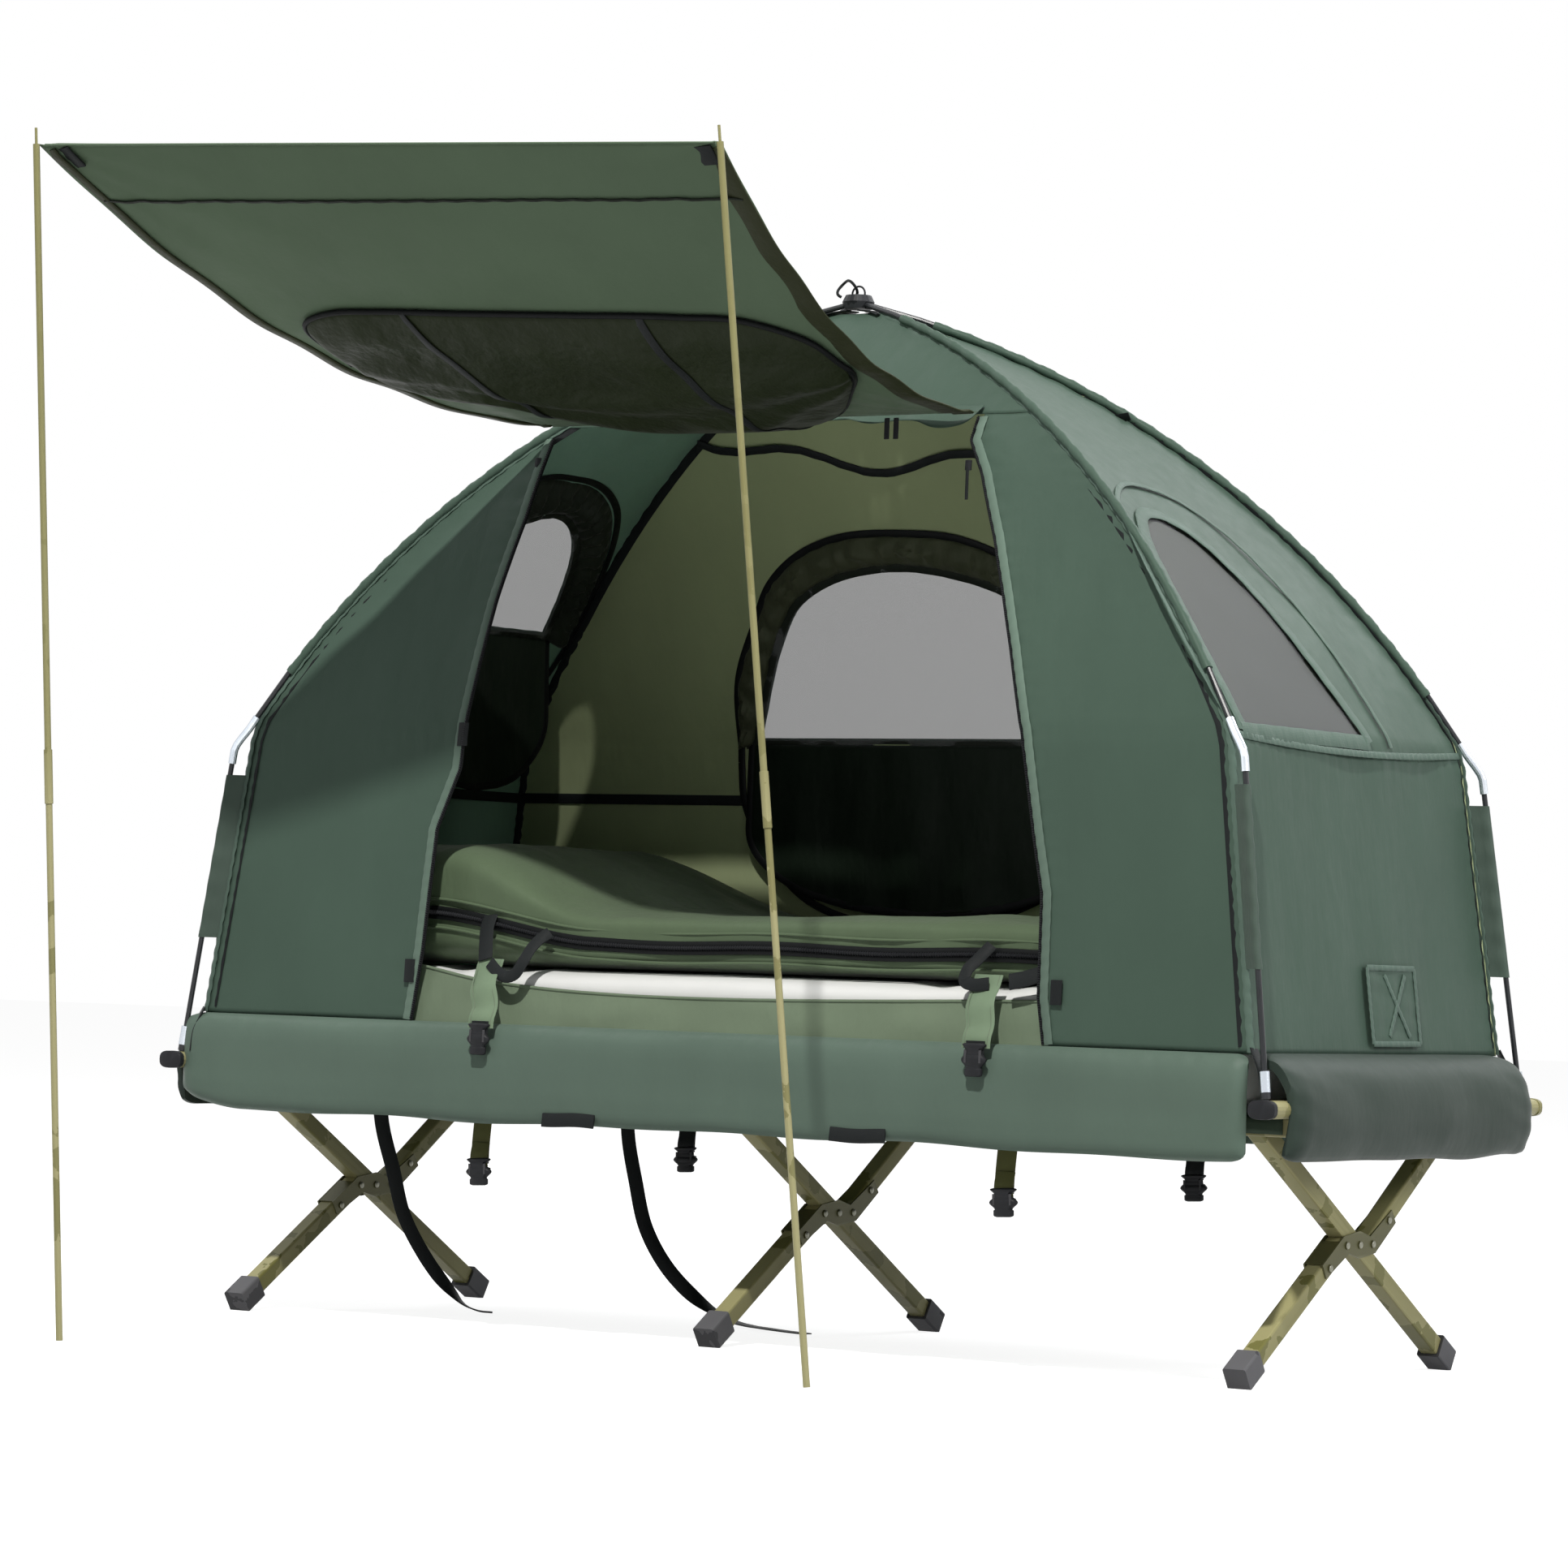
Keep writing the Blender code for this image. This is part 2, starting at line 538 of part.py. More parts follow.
def make_hub():
    """A moulded disc bored for the four rods, with a wire loop on top."""
    top = HUB_HEIGHT + HUB_THICKNESS / 2
    bottom = HUB_HEIGHT - HUB_THICKNESS / 2
    middle = HUB_HEIGHT
    path = [(0, 0, bottom), (0, 0, middle), (0, 0, top)]
    verts, faces = sweep(path, ring_section(HUB_RADIUS, 24), scales=[HUB_BOTTOM_SHARE, 1, HUB_TOP_SHARE])
    obj = add_object("hub", verts, faces, BLACK)
    turn = np.linspace(-0.15 * math.pi, 1.15 * math.pi, 14)
    raised = top + HUB_LOOP_RADIUS / 4
    loop = [(HUB_LOOP_RADIUS * math.cos(a), 0, raised + HUB_LOOP_RADIUS * math.sin(a)) for a in turn]
    boolean(obj, "UNION", "hub_loop", *sweep(loop, ring_section(HUB_LOOP_WIRE / 2, 8), side=(0, 1, 0)))
    for label, sx, sy in QUARTERS:
        inside = HUB_RADIUS / 2 - GAP
        angles = [math.acos((r - ARC_CENTRE_R) / ARC_RADIUS) for r in (inside, HUB_RADIUS, HUB_RADIUS * 2)]
        bore = in_plane([arc_point(a) for a in angles], sx, sy)
        side = (-sy * POLE_Y, sx * POLE_X, 0)
        verts, faces = sweep(bore, ring_section(ROD_RADIUS + GAP, 10), side=side)
        boolean(obj, "DIFFERENCE", f"hub_bore_{label}", verts, faces)


# Tent panels: straight across between the four corner curves
SHOULDER_HEIGHT = ELBOW_TOP[1] - SHOULDER_DROP
SHOULDER_REACH = ELBOW_TOP[0] + SHOULDER_OUTSET
CANOPY_RISE = HUB_HEIGHT - SEAM_HEIGHT
LAP = 2.6 * FABRIC
LEFT_ZIP_SHARES = ((0, -.552), (.097, -.538), (.18, -.532), (.263, -.525), (.345, -.487), (.448, -.481),
                   (.579, -.474), (.691, -.460), (.81, -.458))
RIGHT_ZIP_SHARES = ((0, .627), (.06, .614), (.191, .610), (.262, .591), (.396, .559), (.506, .515),
                    (.573, .485), (.651, .446), (.74, .392), (.786, .354), (.839, .352))
RIGHT_WINDOW_SHARES = ((-.797, .402), (-.755, .523), (-.56, .66), (-.45, .685), (-.327, .689), (-.156, .665),
                       (-.058, .616), (.005, .561), (.061, .499), (.172, .402))
LEFT_WINDOW_SHARES = ((-.38, .558), (-.30, .64), (-.18, .70), (.008, .724), (.2, .712), (.364, .68),
                      (.504, .622), (.591, .558))
REAR_WINDOW_SHARES = ((-.42, .408), (-.342, .562), (-.308, .603), (-.226, .642), (-.137, .658), (-.066, .66),
                      (.023, .649), (.11, .626), (.165, .598), (.21, .55), (.28, .408))


def corner_reach(z):
    """Distance of the tent's corner seam from the middle at a height."""
    radius = ARC_RADIUS - CANOPY_INSET
    bottom_angle = ARC_END_ANGLE
    arc_low = ARC_CENTRE_Z + radius * math.sin(bottom_angle)
    if z >= arc_low:
        return ARC_CENTRE_R + radius * math.cos(math.asin((z - ARC_CENTRE_Z) / radius))
    arc_reach = ARC_CENTRE_R + radius * math.cos(bottom_angle)
    heights = (SEAM_HEIGHT, SHOULDER_HEIGHT, arc_low)
    return float(np.interp(z, heights, (SEAM_REACH, SHOULDER_REACH, arc_reach)))


def apex_height():
    radius = ARC_RADIUS - CANOPY_INSET
    return ARC_CENTRE_Z + math.sqrt(radius ** 2 - (APEX_REACH - ARC_CENTRE_R) ** 2)


def levels(low, high):
    """Heights of a panel's rows, close together where the poles curve."""
    radius = ARC_RADIUS - CANOPY_INSET
    arc = [ARC_CENTRE_Z + radius * math.sin(a) for a in np.linspace(ARC_END_ANGLE, ARC_START_ANGLE, 13)]
    middle = (SEAM_HEIGHT + SHOULDER_HEIGHT) / 2
    inner = [z for z in (middle, SHOULDER_HEIGHT, *arc) if low + FABRIC < z < high - FABRIC]
    return [low, *inner, high]


def zip_x(table, z):
    heights = [SEAM_HEIGHT + share * CANOPY_RISE for share, _ in table]
    return float(np.interp(z, heights, [across * POLE_X for _, across in table]))


def add_panel(name, rows, inward):
    verts, faces = thick_sheet(rows, FABRIC, inward)
    return add_object(name, verts, faces, GREEN)


def side_row(z, low_x, high_x, near):
    y = near * POLE_Y * corner_reach(z)
    return [(x, y, z) for x in np.linspace(low_x, high_x, 5)]


def window_cut(obj, shares, along_x, side):
    """Cut a window whose outline is given in shares of the half width and of the tent's rise."""
    half = POLE_Y if along_x else POLE_X
    profile = [(half * across, SEAM_HEIGHT + CANOPY_RISE * up) for across, up in shares]
    low, high = sorted((side * APEX_REACH, side * (SEAM_REACH + OVERRUN)))
    boolean(obj, "DIFFERENCE", f"{obj.name}_window", *prism(profile, low, high, axis=0 if along_x else 1))


def make_canopy():
    apex = apex_height()
    limit = {z: POLE_X * corner_reach(z) - LAP for z in levels(SEAM_HEIGHT, apex)}

    def edge(z):
        return limit.get(z, POLE_X * corner_reach(z) - LAP)

    left_top = SEAM_HEIGHT + LEFT_ZIP_SHARES[-1][0] * CANOPY_RISE
    rows = [side_row(z, -edge(z), zip_x(LEFT_ZIP_SHARES, z), -1) for z in levels(SEAM_HEIGHT, left_top)]
    add_panel("canopy_front_left", rows, (0, 1, 0))
    rows = [side_row(z, zip_x(RIGHT_ZIP_SHARES, z), edge(z), -1) for z in levels(SEAM_HEIGHT, DOOR_TOP - GAP)]
    add_panel("canopy_front_right", rows, (0, 1, 0))
    rows = [side_row(z, -edge(z), edge(z), -1) for z in levels(DOOR_TOP + FABRIC, apex)]
    low, high = AWNING_ROOT_SPAN
    flare = ROOF_FLARE - GAP
    hem = [(max(low, min(high, x)) if abs(x) > high else x, y - flare, z) for x, y, z in rows[0]]
    add_panel("canopy_roof_front", [hem, *rows[1:]], (0, 1, -1))
    rows = [side_row(z, -edge(z), edge(z), 1) for z in levels(SEAM_HEIGHT, apex)]
    rear = add_panel("canopy_rear", rows, (0, -1, 0))
    window_cut(rear, REAR_WINDOW_SHARES, False, 1)
    for label, side, shares in (("left", -1, LEFT_WINDOW_SHARES), ("right", 1, RIGHT_WINDOW_SHARES)):
        rows = [[(side * POLE_X * corner_reach(z), y, z)
                 for y in np.linspace(-POLE_Y * corner_reach(z), POLE_Y * corner_reach(z), 5)]
                for z in levels(SEAM_HEIGHT, apex)]
        end = add_panel(f"canopy_{label}_end", rows, (-side, 0, 0))
        window_cut(end, shares, True, side)


# Skirts along the sides and the sleeves round the spreader bars
def make_skirts():
    for label, side in (("near", -1), ("far", 1)):
        outline = [(SKIRT_OFFSET, SKIRT_BOTTOM), (SKIRT_OFFSET, SKIRT_TOP - SKIRT_THICKNESS),
                   (SEAM_Y + FABRIC, SKIRT_TOP), (SEAM_Y - SKIRT_THICKNESS, SKIRT_TOP),
                   (SKIRT_OFFSET - SKIRT_THICKNESS, SKIRT_TOP - 2 * SKIRT_THICKNESS),
                   (SKIRT_OFFSET - SKIRT_THICKNESS, SKIRT_BOTTOM)]
        profile = [(side * y, z) for y, z in outline]
        verts, faces = prism(profile, -SKIRT_HALF_LENGTH, SKIRT_HALF_LENGTH)
        add_object(f"skirt_{label}", verts, faces, GREEN)


def make_end_wraps():
    reach = SPREADER_OFFSET + SPREADER_WIDTH / 2
    outside = reach + 2 * WRAP_THICKNESS
    drop = SPREADER_TOP - SKIRT_BOTTOM
    line = [(SEAM_X - WRAP_THICKNESS, SKIRT_TOP), (SEAM_X + WRAP_THICKNESS, SKIRT_TOP),
            (reach - WRAP_THICKNESS, SPREADER_TOP + SPREADER_WIDTH), (outside, SPREADER_TOP + WRAP_THICKNESS),
            (outside + WRAP_THICKNESS / 2, SPREADER_TOP - drop / 2), (outside, SKIRT_BOTTOM + WRAP_THICKNESS)]
    half = SEAM_Y - SKIRT_THICKNESS - GAP
    for label, side in (("left", -1), ("right", 1)):
        rows = [[(side * x, y, z) for y in np.linspace(-half, half, 3)] for x, z in line]
        verts, faces = thick_sheet(rows, WRAP_THICKNESS / 2, (-side, 0, -1))
        add_object(f"end_wrap_{label}", verts, faces, GREY_GREEN)


def make_sling():
    """Heavy cloth stretched over both rails, with a hem down each outer side."""
    low = RAIL_HEIGHT + RAIL_SIZE / 2 + GAP
    edge = RAIL_OFFSET + RAIL_SIZE / 2 + GAP
    hem = low - SLING_HEM
    outside = edge + FABRIC
    outline = [(-outside, hem), (-edge, hem), (-edge, low), (edge, low), (edge, hem), (outside, hem),
               (outside, low + FABRIC), (-outside, low + FABRIC)]
    verts, faces = prism(outline, -SLING_HALF_LENGTH, SLING_HALF_LENGTH)
    add_object("bed_sling", verts, faces, GREEN)


def wall_offset(reach, z):
    """How far inside the wall's face a flap's hinge lies, across the wall's slope at a sill."""
    rise = reach * (corner_reach(z) - corner_reach(z + FABRIC)) / FABRIC
    return (FABRIC + FLAP_THICKNESS / 2 + FLAP_CLEARANCE) * math.hypot(1, rise)


def pillow_shape(half_length, half_width, low, height, square, columns=32, rows=12):
    """A crowned closed form: a ball whose directions are squared off towards a box."""
    def squared(value):
        return np.sign(value) * np.abs(value) ** square

    top = squared(math.cos(math.pi / rows))
    verts = []
    for r in range(1, rows):
        up = -math.pi / 2 + math.pi * r / rows
        for c in range(columns):
            turn = 2 * math.pi * c / columns
            ring = squared(math.cos(up))
            verts.append((half_length * ring * squared(math.cos(turn)),
                          half_width * ring * squared(math.sin(turn)),
                          low + height / 2 * (1 + squared(math.sin(up)) / top)))
    faces = [(r * columns + c, r * columns + (c + 1) % columns,
              (r + 1) * columns + (c + 1) % columns, (r + 1) * columns + c)
             for r in range(rows - 2) for c in range(columns)]
    faces.append(tuple(range(columns)))
    faces.append(tuple((rows - 2) * columns + c for c in range(columns)))
    return verts, faces


MATTRESS_LOW = RAIL_HEIGHT + RAIL_SIZE / 2 + FABRIC + 2 * GAP
BAG_LOW = MATTRESS_LOW + MATTRESS_HEIGHT + GAP


def make_bedding():
    verts, faces = pillow_shape(MATTRESS_HALF_LENGTH, MATTRESS_HALF_WIDTH, MATTRESS_LOW, MATTRESS_HEIGHT,
                                MATTRESS_SQUARENESS)
    add_object("air_mattress", verts, faces, PALE)
    verts, faces = pillow_shape(BAG_HALF_LENGTH, BAG_HALF_WIDTH, BAG_LOW, BAG_HEIGHT, BAG_SQUARENESS)
    raised = []
    for x, y, z in verts:
        along = np.clip((x + BAG_HALF_LENGTH) / BAG_PILLOW_LENGTH - 1, 0, 1)
        rise = BAG_PILLOW_RISE * (1 - along) ** 2 * (1 + 2 * along)
        raised.append((x, y, z + rise * (z - BAG_LOW) / BAG_HEIGHT))
    add_object("sleeping_bag", raised, faces, SLEEPING)


# Window flaps hang inside from the sills
def make_flaps():
    def rounded_flap(low_across, high_across, sill, drop):
        middle = (low_across + high_across) / 2
        half = (high_across - low_across) / 2
        turn = np.linspace(0, math.pi, 9)
        corner = drop / 2
        lower = [(middle + half * math.cos(a), sill - corner - corner * math.sin(a)) for a in turn]
        return [(high_across, sill)] + lower + [(low_across, sill)]

    for label, side, shares, drop in (("left", -1, LEFT_WINDOW_SHARES, LEFT_FLAP_DROP),
                                      ("right", 1, RIGHT_WINDOW_SHARES, RIGHT_FLAP_DROP)):
        sill = SEAM_HEIGHT + shares[0][1] * CANOPY_RISE
        inside = side * (POLE_X * corner_reach(sill) - wall_offset(POLE_X, sill))
        outline = rounded_flap(POLE_Y * shares[0][0], POLE_Y * shares[-1][0], sill, drop)
        verts, faces = prism(outline, inside - FLAP_THICKNESS / 2, inside + FLAP_THICKNESS / 2)
        add_object(f"window_flap_{label}", verts, faces, DARK_FABRIC, (inside, 0, sill))
    sill = SEAM_HEIGHT + REAR_WINDOW_SHARES[0][1] * CANOPY_RISE
    inside = POLE_Y * corner_reach(sill) - wall_offset(POLE_Y, sill)
    outline = rounded_flap(POLE_X * REAR_WINDOW_SHARES[0][0], POLE_X * REAR_WINDOW_SHARES[-1][0], sill,
                           REAR_FLAP_DROP)
    verts, faces = prism(outline, inside - FLAP_THICKNESS / 2, inside + FLAP_THICKNESS / 2, axis=1)
    add_object("window_flap_rear", verts, faces, DARK_FABRIC, (0, inside, sill))


# Awning: the outer door propped out on two poles, with the rolled inner door under it
ROOF_HEM = DOOR_TOP + FABRIC
ROOT_Y = -POLE_Y * corner_reach(ROOF_HEM) - ROOF_FLARE
AWNING_ROOT_LEFT = np.array([AWNING_ROOT_SPAN[0], ROOT_Y, ROOF_HEM + GAP])
AWNING_ROOT_RIGHT = np.array([AWNING_ROOT_SPAN[1], ROOT_Y, ROOF_HEM + GAP])
ROOT_MIDDLE = (AWNING_ROOT_LEFT + AWNING_ROOT_RIGHT) / 2


def awning_point(out, across):
    """out runs from the root to the front edge, across from left to right; the cloth sags between."""
    root = (1 - across) * AWNING_ROOT_LEFT + across * AWNING_ROOT_RIGHT
    front = (1 - across) * np.array(AWNING_CORNER_LEFT) + across * np.array(AWNING_CORNER_RIGHT)
    point = (1 - out) * root + out * front
    point[2] -= AWNING_SAG * 4 * out * (1 - out)
    return point


def make_awning():
    """The sheet, and under it the roll: rows at a share outwards, between two shares across, each so thick."""
    trim = AWNING_SPIKE_RADIUS + AWNING_SPIKE_GAP

    def trimmed_point(out, across):
        length = math.dist(awning_point(0, across), awning_point(1, across))
        return awning_point(out * (1 - trim / length), across)

    rows = [[trimmed_point(out, across) for across in np.linspace(0, 1, 7)] for out in np.linspace(0, 1, 10)]
    verts, faces = thick_sheet(rows, AWNING_THICKNESS, (0, 0, 1))
    add_object("awning", verts, faces, GREEN, ROOT_MIDDLE)
    rolled = []
    for out, across_low, across_high, thick in ROLL_ROWS:
        left = awning_point(out, across_low)
        right = awning_point(out, across_high)
        rolled.append((left, right, thick * ROLL_THICKNESS))
    upper = [[(1 - u) * left + u * right - np.array([0, 0, ROLL_DROP]) for u in np.linspace(0, 1, 5)]
             for left, right, _ in rolled]
    lower = [[point - np.array([0, 0, thick * (1 if 0 < i < 4 else 0.4)]) for i, point in enumerate(row)]
             for row, (_, _, thick) in zip(upper, rolled)]
    count = len(upper) * 5
    verts = [p for row in upper for p in row] + [p for row in lower for p in row]
    faces = []
    for r in range(len(upper) - 1):
        for c in range(4):
            quad = (r * 5 + c, r * 5 + c + 1, (r + 1) * 5 + c + 1, (r + 1) * 5 + c)
            faces.append(quad)
            faces.append(tuple(count + i for i in reversed(quad)))
    last = len(upper) - 1
    rim = [*range(5)] + [r * 5 + 4 for r in range(1, last + 1)]
    rim += [last * 5 + c for c in range(3, -1, -1)] + [r * 5 for r in range(last - 1, 0, -1)]
    for here, there in zip(rim, rim[1:] + rim[:1]):
        faces.append((here, there, count + there, count + here))
    add_object("door_roll", verts, faces, GREEN, ROOT_MIDDLE)


def pole_line(across):
    """The top of the pole's shoulder, just under the awning's corner, and its foot on the floor."""
    corner = awning_point(1, across)
    foot_xy = AWNING_POLE_FOOT_LEFT if across == 0 else AWNING_POLE_FOOT_RIGHT
    top = corner - np.array([0, 0, AWNING_SHOULDER_DROP])
    lean = math.dist(top[:2], foot_xy) / top[2]
    foot = np.array([*foot_xy, AWNING_POLE_RADIUS * lean])
    return top, foot


def make_awning_poles():
    for label, across in (("left", 0), ("right", 1)):
        top, foot = pole_line(across)
        down = unit(foot - top)
        ferrule_top = top + down * FERRULE_DROP
        ferrule_end = ferrule_top + down * FERRULE_LENGTH
        spike = AWNING_SPIKE_RADIUS / AWNING_POLE_RADIUS
        sleeve = FERRULE_RADIUS / AWNING_POLE_RADIUS
        path = [top - down * (AWNING_SPIKE_RISE + AWNING_POLE_RADIUS), top - down * GAP, top, ferrule_top,
                ferrule_top + down * GAP, ferrule_end]
        scales = [spike, spike, 1, 1, sleeve, sleeve]
        verts, faces = sweep(path, ring_section(AWNING_POLE_RADIUS, 12), scales=scales)
        obj = add_object(f"awning_pole_upper_{label}", verts, faces, KHAKI, foot)
        middle = ferrule_top + down * FERRULE_LENGTH / 2
        bore = cylinder(middle - down * GAP, ferrule_end + down * OVERRUN, AWNING_POLE_RADIUS + GAP)
        boolean(obj, "DIFFERENCE", f"awning_pole_{label}_bore", *bore)
        lower = sweep([middle, foot], ring_section(AWNING_POLE_RADIUS, 12))
        add_object(f"awning_pole_lower_{label}", *lower, KHAKI, foot)


# Storage straps hang under the bed; their ends lie on the floor
LEFT_STRAP_ROUTE = ((-.724, -.150, .3626), (-.724, -.150, .330), (-.720, -.150, .294), (-.700, -.142, .215),
                    (-.686, -.130, .148), (-.668, -.112, .100), (-.648, -.095, .062), (-.628, -.080, .034),
                    (-.612, -.066, .014), (-.596, -.052, .006), (-.580, -.040, .0045))
RIGHT_STRAP_ROUTE = ((-.412, .060, .3626), (-.412, .060, .330), (-.410, .060, .286), (-.394, .062, .210),
                     (-.374, .065, .140), (-.340, .072, .085), (-.300, .082, .045), (-.262, .090, .020),
                     (-.225, .088, .008), (-.185, .072, .0045), (-.145, .050, .0045), (-.105, .030, .0045),
                     (-.065, .014, .0045), (-.040, .006, .0045))


def make_strap(name, route):
    """A round cord on a smooth curve through the route's points."""
    points = np.array(route)
    steps = np.concatenate([[0], np.cumsum(np.linalg.norm(np.diff(points, axis=0), axis=1))])
    slopes = np.gradient(points, steps, axis=0)
    where = np.linspace(0, steps[-1], STRAP_POINTS)
    index = np.clip(np.searchsorted(steps, where, side="right") - 1, 0, len(points) - 2)
    width = (steps[index + 1] - steps[index])[:, None]
    t = (where - steps[index])[:, None] / width
    smooth = ((1 + 2 * t) * (1 - t) ** 2 * points[index] + t * (1 - t) ** 2 * width * slopes[index]
              + t ** 2 * (3 - 2 * t) * points[index + 1] + t ** 2 * (t - 1) * width * slopes[index + 1])
    smooth[:, 2] = np.maximum(smooth[:, 2], STRAP_RADIUS + GAP)
    curve = bpy.data.curves.new(name, "CURVE")
    curve.dimensions = "3D"
    curve.bevel_depth = STRAP_RADIUS
    curve.bevel_resolution = 2
    curve.use_fill_caps = True
    spline = curve.splines.new("POLY")
    spline.points.add(STRAP_POINTS - 1)
    for point, place in zip(spline.points, smooth):
        point.co = (*place, 1)
    curve.materials.append(WEBBING)
    obj = bpy.data.objects.new(name, curve)
    bpy.context.scene.collection.objects.link(obj)


def recentre():
    """Put the middle of the floor rectangle under the whole object at the frame's origin."""
    bpy.context.view_layer.update()
    graph = bpy.context.evaluated_depsgraph_get()
    corners = []
    for obj in bpy.context.scene.objects:
        if obj.type == "MESH" and not obj.hide_render:
            seen = obj.evaluated_get(graph)
            corners += [seen.matrix_world @ Vector(c) for c in seen.bound_box]
    low = [min(c[axis] for c in corners) for axis in (0, 1)]
    high = [max(c[axis] for c in corners) for axis in (0, 1)]
    shift = Vector((-(low[0] + high[0]) / 2, -(low[1] + high[1]) / 2, 0))
    for obj in bpy.context.scene.objects:
        obj.location += shift
    print("origin moved by", [round(value, 6) for value in shift])


clear_scene()
for set_name, set_x in (("left", -LEG_SPACING), ("middle", 0), ("right", LEG_SPACING)):
    make_leg_set(set_name, set_x)
make_rail("rail_near", NEAR_RAIL, CENTRE)
make_rail("rail_far", FAR_RAIL, FAR_RIVET)
make_spreader("spreader_left", -1)
make_spreader("spreader_right", 1)
make_poles()
make_hub()
make_canopy()
make_skirts()
make_end_wraps()
make_sling()
make_bedding()
make_flaps()
make_awning()
make_awning_poles()
make_strap("strap_left", LEFT_STRAP_ROUTE)
make_strap("strap_right", RIGHT_STRAP_ROUTE)
recentre()
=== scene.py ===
"""Looks of a tent cot: a dome tent on a folding camp bed, its door propped out on two poles."""

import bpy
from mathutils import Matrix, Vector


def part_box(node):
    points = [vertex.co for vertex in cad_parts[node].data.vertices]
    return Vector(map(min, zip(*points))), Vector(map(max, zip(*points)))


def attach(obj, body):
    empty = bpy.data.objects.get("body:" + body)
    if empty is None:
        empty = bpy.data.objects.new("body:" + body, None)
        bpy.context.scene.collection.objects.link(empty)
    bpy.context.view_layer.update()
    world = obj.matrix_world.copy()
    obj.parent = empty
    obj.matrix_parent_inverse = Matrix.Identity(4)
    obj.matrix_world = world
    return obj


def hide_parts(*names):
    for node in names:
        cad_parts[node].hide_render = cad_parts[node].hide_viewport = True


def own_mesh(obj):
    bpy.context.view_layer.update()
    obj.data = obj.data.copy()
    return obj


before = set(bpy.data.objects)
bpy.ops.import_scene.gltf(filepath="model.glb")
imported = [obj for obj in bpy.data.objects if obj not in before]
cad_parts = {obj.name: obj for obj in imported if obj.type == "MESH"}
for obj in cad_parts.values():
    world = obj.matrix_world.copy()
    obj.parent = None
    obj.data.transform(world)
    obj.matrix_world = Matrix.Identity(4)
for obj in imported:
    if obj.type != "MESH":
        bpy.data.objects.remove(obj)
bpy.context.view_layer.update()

import math

import bpy
import numpy as np
from mathutils import Matrix, Vector

# View: a long lens from the door side, a little right of the bed's middle and low, as the photo was taken.
# Places are measured from the upright line through the hub, midway between the two rails.
near_rail_low, near_rail_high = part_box("rail_near")
far_rail_low, far_rail_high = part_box("rail_far")
MIDDLE_Y = (near_rail_low[1] + far_rail_high[1]) / 2
EYE = Vector((4.395, -6.758 + MIDDLE_Y, 0.551))
VIEW_YAW = math.radians(33.66)
VIEW_PITCH = math.radians(-1.85)
VIEW_ROLL = math.radians(1.79)
FOCAL_PIXELS = 6757
IMAGE_PIXELS = 1932
SENSOR = 36.0


def make_camera():
    """The view axes are yawed from +Y, pitched a little upwards and rolled about the line of sight."""
    forward = Vector((-math.sin(VIEW_YAW) * math.cos(VIEW_PITCH), math.cos(VIEW_YAW) * math.cos(VIEW_PITCH),
                      -math.sin(VIEW_PITCH)))
    level = Vector((math.cos(VIEW_YAW), math.sin(VIEW_YAW), 0))
    upright = level.cross(forward)
    right = level * math.cos(VIEW_ROLL) + upright * math.sin(VIEW_ROLL)
    up = upright * math.cos(VIEW_ROLL) - level * math.sin(VIEW_ROLL)
    lens = bpy.data.cameras.new("view")
    lens.sensor_width = SENSOR
    lens.lens = FOCAL_PIXELS / IMAGE_PIXELS * SENSOR
    lens.clip_end = 200
    camera = bpy.data.objects.new("view", lens)
    camera.matrix_world = Matrix((right, up, -forward)).transposed().to_4x4()
    camera.location = EYE
    bpy.context.scene.collection.objects.link(camera)
    bpy.context.scene.camera = camera


make_camera()


# Floor, white surroundings and soft lamps. The surroundings are white to the camera and in reflections;
# the cloth is lit by a lamp high in front, a broad one on the right, a weak one on the left and a pale sky.
def seen_directly(tree):
    """One for camera, glossy and transmission rays and nought for the rays that only carry light."""
    rays = tree.nodes.new("ShaderNodeLightPath")
    mirrored = tree.nodes.new("ShaderNodeMath")
    mirrored.operation = "MAXIMUM"
    tree.links.new(rays.outputs["Is Glossy Ray"], mirrored.inputs[0])
    tree.links.new(rays.outputs["Is Transmission Ray"], mirrored.inputs[1])
    seen = tree.nodes.new("ShaderNodeMath")
    seen.operation = "MAXIMUM"
    tree.links.new(rays.outputs["Is Camera Ray"], seen.inputs[0])
    tree.links.new(mirrored.outputs[0], seen.inputs[1])
    return seen.outputs[0]


def make_floor():
    size = 30
    mesh = bpy.data.meshes.new("floor")
    mesh.from_pydata([(-size, -size, 0), (size, -size, 0), (size, size, 0), (-size, size, 0)], [], [(0, 1, 2, 3)])
    floor = bpy.data.objects.new("floor", mesh)
    bpy.context.scene.collection.objects.link(floor)
    mat = bpy.data.materials.new("pale_floor")
    mat.use_nodes = True
    tree = mat.node_tree
    shader = tree.nodes["Principled BSDF"]
    shader.inputs["Base Color"].default_value = (0.5, 0.5, 0.5, 1)
    shader.inputs["Roughness"].default_value = 0.9
    shader.inputs["Specular IOR Level"].default_value = 0
    shader.inputs["Emission Color"].default_value = (1, 1, 1, 1)
    glow = tree.nodes.new("ShaderNodeMath")
    glow.operation = "MULTIPLY"
    glow.inputs[1].default_value = 0.88
    tree.links.new(seen_directly(tree), glow.inputs[0])
    tree.links.new(glow.outputs[0], shader.inputs["Emission Strength"])
    mesh.materials.append(mat)


def add_lamp(name, place, target, size, power, colour):
    data = bpy.data.lights.new(name, "AREA")
    data.shape = "DISK"
    data.size = size
    data.energy = power
    data.color = colour
    lamp = bpy.data.objects.new(name, data)
    lamp.location = Vector(place)
    lamp.rotation_euler = (Vector(target) - Vector(place)).to_track_quat("-Z", "Y").to_euler()
    bpy.context.scene.collection.objects.link(lamp)


